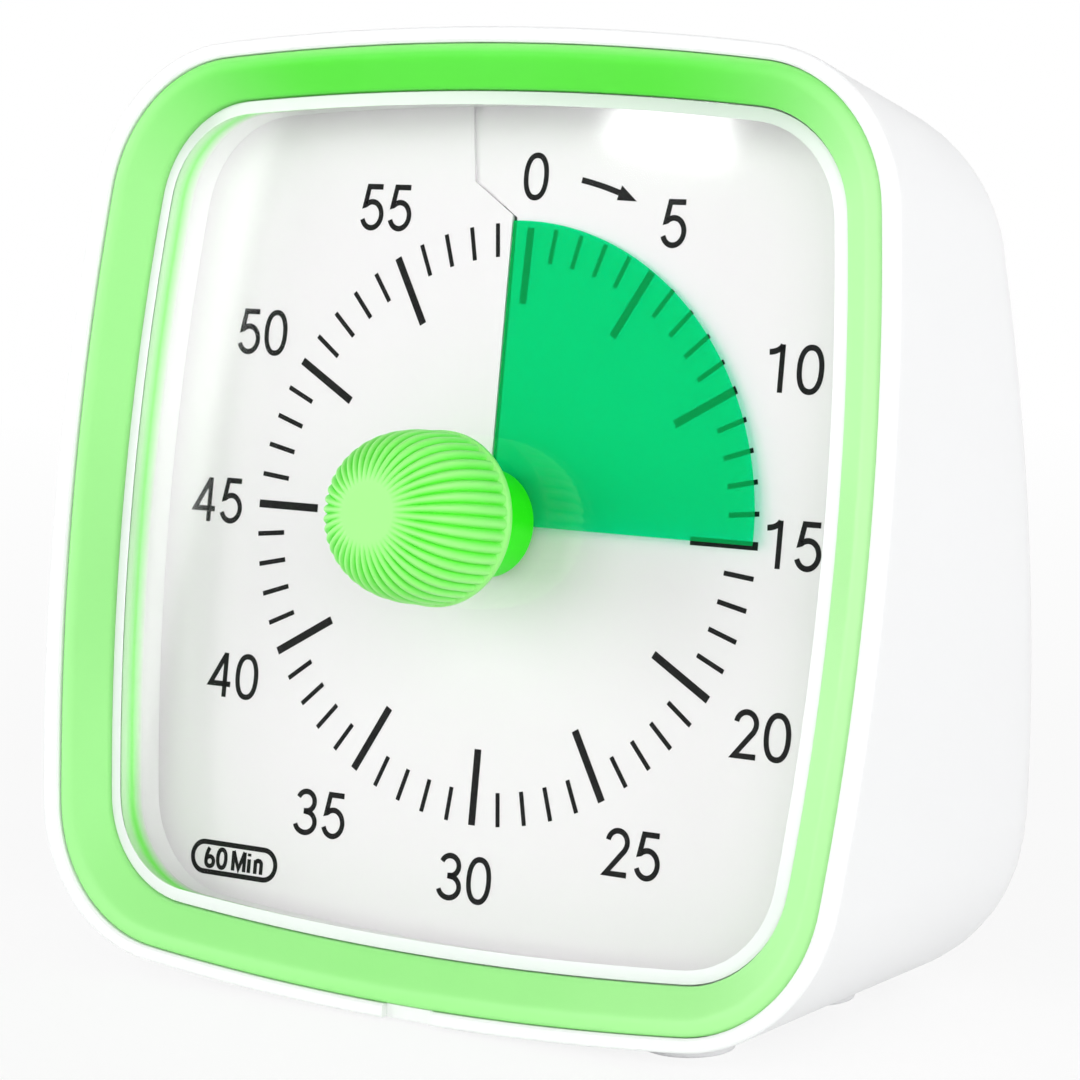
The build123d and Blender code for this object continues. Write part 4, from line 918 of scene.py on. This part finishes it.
# print on the card; numbers and letters are placed and sized in scale radii
ink = {
    "lift": 0.02, "scale": 26.0, "digitHigh": 0.1565, "digitWide": 1.05, "digitMiddle": 0.3, "stroke": 0.122,
    "pairPitch": 0.117,
    "ticks": {"count": 60, "radius": 26.15, "longLength": 6.5936, "shortLength": 2.9406, "longWidth": 0.715,
              "shortWidth": 0.429, "startTurn": 0.0305, "startGap": 0.42},
    "numbers": {"0": (0.033, 1.160), "5": (0.586, 1.018), "10": (1.082, 0.570), "15": (1.13, 0.0125),
                "20": (1.079, -0.597), "25": (0.637, -1.027), "30": (-0.01, -1.186), "35": (-0.630, -1.040),
                "40": (-1.054, -0.605), "45": (-1.19, 0.0), "50": (-1.058, 0.594), "55": (-0.573, 1.041)},
    "arrow": {"radius": 1.172, "start": 10.6, "end": 18.4, "steps": 10, "wide": 0.020, "tail": 18.2,
              "tip": 21.9, "tipShare": 0.999, "head": 0.026},
    "capsule": {"low": (-1.1645, -1.2945), "high": (-0.8005, -1.1915), "line": 0.018, "stroke": 0.0155,
                "base": -1.278, "tall": 0.070,
                "letters": (("6", -1.110, 0.0725), ("0", -1.0575, 0.0725), ("M", -0.9905, 0.094),
                            ("i", -0.9195, 0.07), ("n", -0.892, 0.080))},
}


def tickRing(maker, count, radius, longLength, shortLength, longWidth, shortWidth, startTurn, startGap,
             every=5, lateUntil=15, gapUntil=6, slack=0.01, whole=0.05):
    # short and long marks set round the scale; the first ones start late, so that the zero clears the slit
    still = (0.0, 0.0, 0.0)
    points = maker.out("GeometryNodeMeshLine", {"mode": "OFFSET"}, {"Count": count, "Offset": still})
    square = maker.out("GeometryNodeCurvePrimitiveQuadrilateral", {}, {"Width": 1.0, "Height": 1.0})
    bar = maker.out("GeometryNodeFillCurve", {}, {"Curve": square})
    index = maker.value("GeometryNodeInputIndex")
    marked = (index / every - (index / every + slack).math("FLOOR")).math("LESS_THAN", whole)
    length = shortLength + (longLength - shortLength) * marked
    width = shortWidth + (longWidth - shortWidth) * marked
    turn = index * (-2 * math.pi) / count - (1 - index / lateUntil).kept() * startTurn
    middle = radius - length / 2 - (1 - index / gapUntil).kept() * startGap
    place = maker.vector(X=(turn * -1).sine() * middle, Y=turn.cosine() * middle)
    moved = maker.out("GeometryNodeSetPosition", {}, {"Geometry": points, "Position": place})
    return maker.out("GeometryNodeInstanceOnPoints", {}, {
        "Points": moved, "Instance": bar, "Rotation": maker.vector(Z=turn),
        "Scale": maker.vector(X=width, Y=length, Z=1.0)})


def bend(cx, cy, rx, ry, start, end, steps=20):
    turns = [math.radians(start + (end - start) * i / steps) for i in range(steps + 1)]
    return [(cx + rx * math.cos(turn), cy + ry * math.sin(turn)) for turn in turns]


def fullOval(cx, cy, rx, ry, squareness=2.25, steps=44):
    # sides a little straighter than an ellipse's
    def squared(part):
        return math.copysign(abs(part) ** (2 / squareness), part)
    turns = [2 * math.pi * i / steps for i in range(steps)]
    return [(cx + rx * squared(math.cos(turn)), cy + ry * squared(math.sin(turn))) for turn in turns]


# each glyph is one digit high; a stroke is (points, closed)
glyphs = {
    "0": [(fullOval(0.3, 0.5, 0.245, 0.45), True)],
    "1": [([(0.365, 0.985), (0.365, 0.0)], False), (bend(0.06, 1.02, 0.31, 0.2, -88, -12, 8), False)],
    "2": [(bend(0.3, 0.71, 0.225, 0.24, 172, -18, 22)
           + [(0.475, 0.55), (0.40, 0.46), (0.07, 0.05), (0.56, 0.05)], False)],
    "3": [(bend(0.285, 0.735, 0.215, 0.215, 160, -72, 20) + [(0.235, 0.52)], False),
          ([(0.235, 0.52)] + bend(0.285, 0.285, 0.255, 0.235, 68, -164, 24), False)],
    "4": [([(0.43, 0.985), (0.43, 0.0)], False), ([(0.43, 0.965), (0.05, 0.29), (0.585, 0.29)], False)],
    "5": [([(0.545, 0.95), (0.19, 0.95), (0.115, 0.545)]
           + bend(0.3, 0.335, 0.245, 0.285, 130, -160, 28), False)],
    "6": [(fullOval(0.3, 0.29, 0.23, 0.24, 2.1), True), (bend(0.62, 0.29, 0.55, 0.9, 132, 178, 12), False)],
    "M": [([(0.06, 0.0), (0.06, 0.98)], False), ([(0.06, 0.98), (0.32, 0.12), (0.58, 0.98)], False),
          ([(0.58, 0.98), (0.58, 0.0)], False)],
    "i": [([(0.06, 0.0), (0.06, 0.68)], False), ([(0.06, 0.82), (0.06, 0.96)], False)],
    "n": [([(0.06, 0.0), (0.06, 0.68)], False),
          (bend(0.22, 0.5, 0.16, 0.165, 172, 0, 12) + [(0.38, 0.0)], False)],
}
sharpest = 0.45  # a mitre is stretched no further than this allows


def strokeFaces(bm, points, width, closed):
    # a flat ribbon of even width with mitred corners
    points = [Vector(p) for p in points]
    count, lift = len(points), ink["lift"]
    left, right = [], []
    for i, point in enumerate(points):
        before = points[i - 1] if closed or i > 0 else None
        after = points[(i + 1) % count] if closed or i < count - 1 else None
        ways = [(b - a).normalized() for a, b in ((before, point), (point, after)) if None not in (a, b)]
        way = sum(ways, Vector((0, 0))).normalized()
        across = Vector((-way.y, way.x))
        stretch = 1 / max(sharpest, abs(across.dot(Vector((-ways[0].y, ways[0].x)))))
        left.append(bm.verts.new((*(point + across * width / 2 * stretch), lift)))
        right.append(bm.verts.new((*(point - across * width / 2 * stretch), lift)))
    for i in range(count if closed else count - 1):
        j = (i + 1) % count
        bm.faces.new((right[i], right[j], left[j], left[i]))


def drawGlyph(bm, glyph, x, y, high, wide, stroke):
    for points, closed in glyphs[glyph]:
        strokeFaces(bm, [(x + px * wide, y + py * high) for px, py in points], stroke, closed)


def drawNumbers(bm, scale):
    high = ink["digitHigh"] * scale
    wide = high * ink["digitWide"]
    pitch = ink["pairPitch"] * scale
    for number, (x, y) in ink["numbers"].items():
        start = x * scale - pitch * (len(number) - 1) / 2 - ink["digitMiddle"] * wide
        for k, digit in enumerate(number):
            drawGlyph(bm, digit, start + k * pitch, y * scale - high / 2, high, wide, ink["stroke"] * high)


def drawArrow(bm, scale):
    # curved shaft with a slim head, pointing clockwise
    def at(degrees):
        return Vector((math.sin(math.radians(degrees)), math.cos(math.radians(degrees))))
    sizes = ink["arrow"]
    start, end, steps = picked(sizes, "start end steps")
    radius = sizes["radius"] * scale
    turns = [math.radians(start + (end - start) * i / steps) for i in range(steps + 1)]
    points = [(radius * math.sin(turn), radius * math.cos(turn)) for turn in turns]
    strokeFaces(bm, points, sizes["wide"] * scale, False)
    across = at(sizes["tail"])
    base, half = across * radius, across * sizes["head"] * scale
    corners = [base + half, at(sizes["tip"]) * (radius * sizes["tipShare"]), base - half]
    bm.faces.new([bm.verts.new((*p, ink["lift"])) for p in corners])


def drawCapsule(bm, scale):
    sizes = ink["capsule"]
    low, high = (Vector(sizes[corner]) * scale for corner in ("low", "high"))
    radius, middle = (high.y - low.y) / 2, (low.y + high.y) / 2
    points = (bend(high.x - radius, middle, radius, radius, -90, 90)
              + bend(low.x + radius, middle, radius, radius, 90, 270))
    strokeFaces(bm, points, sizes["line"] * scale, True)
    for glyph, x, wide in sizes["letters"]:
        drawGlyph(bm, glyph, x * scale, sizes["base"] * scale, sizes["tall"] * scale, wide * scale,
                  sizes["stroke"] * scale)


def printMesh():
    ticks = geometryMesh("dialTicks", tickRing, ink["ticks"])
    ticks.transform(Matrix.Translation((0, 0, ink["lift"])))
    bm = bmesh.new()
    bm.from_mesh(ticks)
    for draw in (drawNumbers, drawArrow, drawCapsule):
        draw(bm, ink["scale"])
    faceOut(bm)
    return meshFrom(bm, "dialPrint")


addPiece("dialPrint", printMesh(), "inkBlack", "case", [], angle=30)
print("print made")


# knob: ribbed dome, made by one rule
knob = {
    "dome": {"ribs": 42, "stepsPerRib": 14, "rows": 40, "disc": 2.6, "grow": 4.81, "growPower": 1.076,
             "base": 8.58, "rise": 10.53, "risePower": 0.572, "groove": 0.36, "fadeUntil": 0.5},
    "face": ((1.2, -0.015), (2.0, 0.0), (2.6, -0.004)), "dent": 0.02,  # radius, height from the dome's tip
    "rimRadius": 7.49, "rimLow": 8.7, "rimWide": 0.75, "rimEdge": 0.14, "rimLap": 0.12, "rimStep": 0.5,
    "rimSteps": 168, "bore": 4.68, "cavity": 6.1, "cavityDepth": 3.6, "cavityEdge": 0.1,
    "merge": 0.008, "discNear": 0.01, "rimNear": 0.2,
}


def knobDome(maker, ribs, stepsPerRib, rows, disc, grow, growPower, base, rise, risePower, groove, fadeUntil,
             pole=0.0005, lobePower=0.75, crestPower=1.5, rimDip=0.25, merge=0.002):
    # a flat grid wound round the axis; rows run from the front disc to the rim
    grid = maker.out("GeometryNodeMeshGrid", {}, {
        "Size X": 1.0, "Size Y": 1.0, "Vertices X": ribs * stepsPerRib + 1, "Vertices Y": rows})
    across, along, _ = maker.parts(maker.out("GeometryNodeInputPosition"))
    turn = (across + 0.5) * (2 * math.pi)
    slope = ((along + 0.5) * (math.pi / 2)).math("MINIMUM", math.pi / 2 - pole).math("MAXIMUM", pole)
    lobe = (turn * ribs / 2).cosine().size()
    fade = (slope / fadeUntil).kept()
    dip = (1 - lobe ** lobePower) * fade * groove
    radius = disc + grow * slope.sine() ** growPower - dip * (slope.sine() * (1 - rimDip) + rimDip)
    height = base + rise * slope.cosine() ** risePower - dip * slope.cosine()
    spot = maker.vector(X=radius * turn.cosine(), Y=radius * turn.sine(), Z=height)
    # painted highlight: the tops of the ribs are marked paler, and so is the whole front where the ribs fade out
    marked = maker.out("GeometryNodeStoreNamedAttribute", {"data_type": "FLOAT", "domain": "POINT"}, {
        "Geometry": grid, "Name": "crest", "Value": lobe ** crestPower * fade + (1 - fade)})
    wound = maker.out("GeometryNodeSetPosition", {}, {"Geometry": marked, "Position": spot})
    return maker.out("GeometryNodeMergeByDistance", {}, {"Geometry": wound, "Distance": merge})


def knobFace(steps, front):
    # the smooth disc at the tip, a little hollow
    bm = bmesh.new()
    rows = [[bm.verts.new(p) for p in circle(r, front + z, steps)] for r, z in knob["face"]]
    hub = bm.verts.new((0, 0, front - knob["dent"]))
    for k in range(steps):
        j = (k + 1) % steps
        bm.faces.new((hub, rows[0][k], rows[0][j]))
        for a, b in zip(rows, rows[1:]):
            bm.faces.new((a[k], b[k], b[j], a[j]))
    return meshFrom(bm, "knobFace")


def knobRim():
    sizes = knob
    low, radius, edge, lap, cavity, small = picked(knob, "rimLow rimRadius rimEdge rimLap cavity cavityEdge")
    high, deep = low + sizes["rimWide"], low + sizes["cavityDepth"]
    profile = [(radius - sizes["rimStep"], high + lap), (radius - lap, high), (radius, high - edge),
               (radius, low + edge), (radius - edge, low), (cavity + small, low), (cavity, low + small),
               (cavity, deep), (sizes["bore"], deep)]
    return meshFrom(ringMesh([circle(r, z, sizes["rimSteps"]) for r, z in profile]), "knobRim")


def knobMesh():
    dome = knob["dome"]
    steps, front = dome["ribs"] * dome["stepsPerRib"], dome["base"] + dome["rise"]
    bm = bmesh.new()
    for part in (geometryMesh("knobDome", knobDome, dome), knobRim(), knobFace(steps, front)):
        bm.from_mesh(part)
    bmesh.ops.remove_doubles(bm, verts=bm.verts, dist=knob["merge"])
    # painted sheen: the smooth front disc and the rim get the full paler colour
    crest = bm.verts.layers.float["crest"]
    smoothTo, rimTo = dome["disc"] + knob["discNear"], knob["rimLow"] + knob["rimWide"] + knob["rimNear"]
    for vert in bm.verts:
        if vert.co.xy.length < smoothTo or vert.co.z < rimTo:
            vert[crest] = 1.0
    return meshFrom(bm, "knobCap")


addPiece("knobCap", knobMesh(), "knobGreen", "knob", ["knob_cap"], angle=60)

neck = {"radius": 4.68, "start": 1.25, "top": 15.0, "spindle": 2.4, "end": -1.15, "edge": 0.2, "steps": 96}


def neckMesh():
    start, end, top, spindle, radius, edge = picked(neck, "start end top spindle radius edge")
    profile = [(0.0, end), (spindle - edge, end), (spindle, end + edge), (spindle, start),
               (radius - edge, start), (radius, start + edge), (radius, top), (0.0, top)]
    return turned(profile, neck["steps"])


addPiece("filmHub", neckMesh(), "neckGreen", "knob", ["film_hub"], angle=32)
print("knob made")


# film: the shown quarter climbs a little as it goes round, so that it winds in at the slit
film = {"radius": 26.3, "inner": 2.45, "low": 0.1, "climb": 1.1, "slitX": -1.03, "steps": 96, "rings": 8,
        "rim": 0.3, "tail": -0.45, "shown": 90.0, "hiddenLow": -0.82, "hiddenSteps": 120, "shownAtFull": 0.62}


def inverseSmooth(share):
    # where the smoothstep curve reaches a share
    return 0.5 - math.sin(math.asin(1 - 2 * share) / 3)


def filmMesh():
    sizes = film
    inner, outer, rings, steps = picked(film, "inner radius rings steps")
    radii = [inner + (outer - inner) * i / rings for i in range(rings + 1)]
    bm = bmesh.new()
    rows = []
    for step in [-1, 0, sizes["rim"], *range(1, steps), steps - sizes["rim"], steps]:
        share = max(step, 0) / steps
        height = sizes["low"] + sizes["climb"] * inverseSmooth(share) if step >= 0 else sizes["tail"]
        row = []
        for radius in radii:
            begin = math.asin(sizes["slitX"] / radius)
            angle = begin * (1 - share) + math.radians(sizes["shown"]) * share
            row.append(bm.verts.new((radius * math.sin(angle), radius * math.cos(angle), height)))
        rows.append(row)
    for a, b in zip(rows, rows[1:]):
        for i in range(rings):
            bm.faces.new((a[i], a[i + 1], b[i + 1], b[i]))
    bm.normal_update()
    return meshFrom(bm, "timeFilm")


def hiddenFilmMesh():
    # the whole disc, behind the card until the knob has turned far enough to raise it
    level, steps = picked(film, "hiddenLow hiddenSteps")
    bm = ringMesh([circle(radius, level, steps) for radius in picked(film, "inner radius")])
    faceOut(bm)
    return meshFrom(bm, "filmBehind")


def axisPoint(height):
    return tuple(dialFrame @ Vector((0, 0, height)))


filmPiece = addPiece("timeFilm", filmMesh(), "greenFilm", None, ["time_film"], angle=40)
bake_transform(filmPiece, "case", "knob", start=axisPoint(film["low"]), end=axisPoint(film["low"] + film["climb"]))
hiddenPiece = addPiece("filmBehind", hiddenFilmMesh(), "greenFilm", "case", [], angle=40)
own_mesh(hiddenPiece)
print("film made")


# rubber feet, each with a shallow dish underneath
pads = {"radius": 4.0, "height": 2.0, "edge": 0.25, "edgeBend": 0.3, "dish": (2.4, 0.12), "dishRim": 2.7}


def padMeshes():
    feet, dish = housing["feet"], pads["dish"]
    r, h, e, small = pads["radius"], pads["height"], pads["edge"], pads["edge"] * pads["edgeBend"]
    profile = [(0, dish[1]), dish, (pads["dishRim"], 0.0), (r - e, 0.0), (r - small, small), (r, e), (r, h),
               (0, h)]
    return joined("footPads", [turned(profile, feet["steps"], spot, floorFrame) for spot in spots(feet)])


addPiece("footPads", padMeshes(), "paleRubber", "case", ["foot_pads"], angle=50)
print("feet made")


# floor, lamps and the white backdrop
studio = {
    "world": 0.36, "room": 0.02, "backdropTurn": (3.3, 2.0), "backdropHeight": (2.6, 1.6),
    "floor": {"tone": (0.9, 0.9, 0.9), "glowShare": 0.86, "shadowReach": (0.12, 0.5)}, "floorSize": 3.0,
    "aim": (0, 0, 0.04),
    "lamps": [
        {"name": "leftLamp", "place": (-0.981, -0.946, 0.38), "size": (0.3, 0.9), "power": 3.9},
        {"name": "leftFarLamp", "place": (-1.3, -0.51, 0.15), "size": (0.5, 0.8), "power": 5.0},
        {"name": "keyLamp", "place": (-0.22, -1.24, 0.4), "size": (0.7, 0.7), "power": 4.2},
        {"name": "fillLamp", "place": (0.8, -1.0, 0.45), "size": (0.9, 0.9), "power": 4.9},
        {"name": "sideLamp", "place": (1.15, -0.1, 0.3), "size": (0.8, 0.7), "power": 6.1},
        {"name": "backLamp", "place": (0.2, 1.1, 0.8), "size": (0.9, 0.6), "power": 3.0},
        {"name": "glintLamp", "place": (-0.674, -1.064, 0.397), "size": (0.05, 0.044), "power": 0.13,
         "aim": (0.019, 0, 0.073)},
    ],
}


def addLamp(look):
    lamp = bpy.data.lights.new(look["name"], "AREA")
    lamp.shape = "RECTANGLE"
    lamp.size, lamp.size_y = look["size"]
    lamp.energy = look["power"]
    holder = loose(look["name"], lamp)
    holder.location = look["place"]
    aim = Vector(look.get("aim", studio["aim"])) - Vector(look["place"])
    holder.rotation_euler = aim.to_track_quat("-Z", "Y").to_euler()


def whiteFloor(maker, place, tone, glowShare, shadowReach):
    # matte where it is lit, white where it is seen; the shadow fades into the backdrop
    near, far = shadowReach
    away = maker.value("ShaderNodeVectorMath", {"operation": "LENGTH"}, {"Vector": place}, 1)
    share = glowShare + ((away - near) / (far - near)).kept() * (1 - glowShare)
    matte = maker.out("ShaderNodeBsdfDiffuse", {}, {"Color": rgba(tone)})
    glow = maker.out("ShaderNodeEmission", {}, {"Color": (1, 1, 1, 1), "Strength": 1.0})
    return maker.blended(maker.rays("Camera", "Glossy", "Transmission") * share, matte, glow)


floorGrid = bmesh.new()
bmesh.ops.create_grid(floorGrid, x_segments=4, y_segments=4, size=studio["floorSize"])
floorPiece = loose("floor", meshFrom(floorGrid, "floor"))
floorPiece.data.materials.append(newMaterial("floorWhite", whiteFloor, studio["floor"]))
for look in studio["lamps"]:
    addLamp(look)


def litWorld(maker, look):
    # white behind the object; the room in front and overhead is dim
    def background(strength):
        return maker.out("ShaderNodeBackground", {}, {"Color": (1, 1, 1, 1), "Strength": strength})
    _, north, up = maker.parts(maker.out("ShaderNodeTexCoord", out=0))
    turn, height = look["backdropTurn"], look["backdropHeight"]
    behind = (north * turn[0] + turn[1]).kept() * (height[1] - up * height[0]).kept()
    room = maker.blended(behind, background(look["room"]), background(1.0))
    lit = maker.blended(maker.rays("Glossy"), background(look["world"]), room)
    return maker.blended(maker.rays("Camera", "Transmission"), lit, background(1.0))


world = bpy.data.worlds.new("studio")
world.use_nodes = True
world.node_tree.nodes.clear()
maker = Maker(world.node_tree)
maker.finish(litWorld(maker, studio), "World")
bpy.context.scene.world = world
bpy.context.scene.view_settings.view_transform = "Standard"
print("studio set")
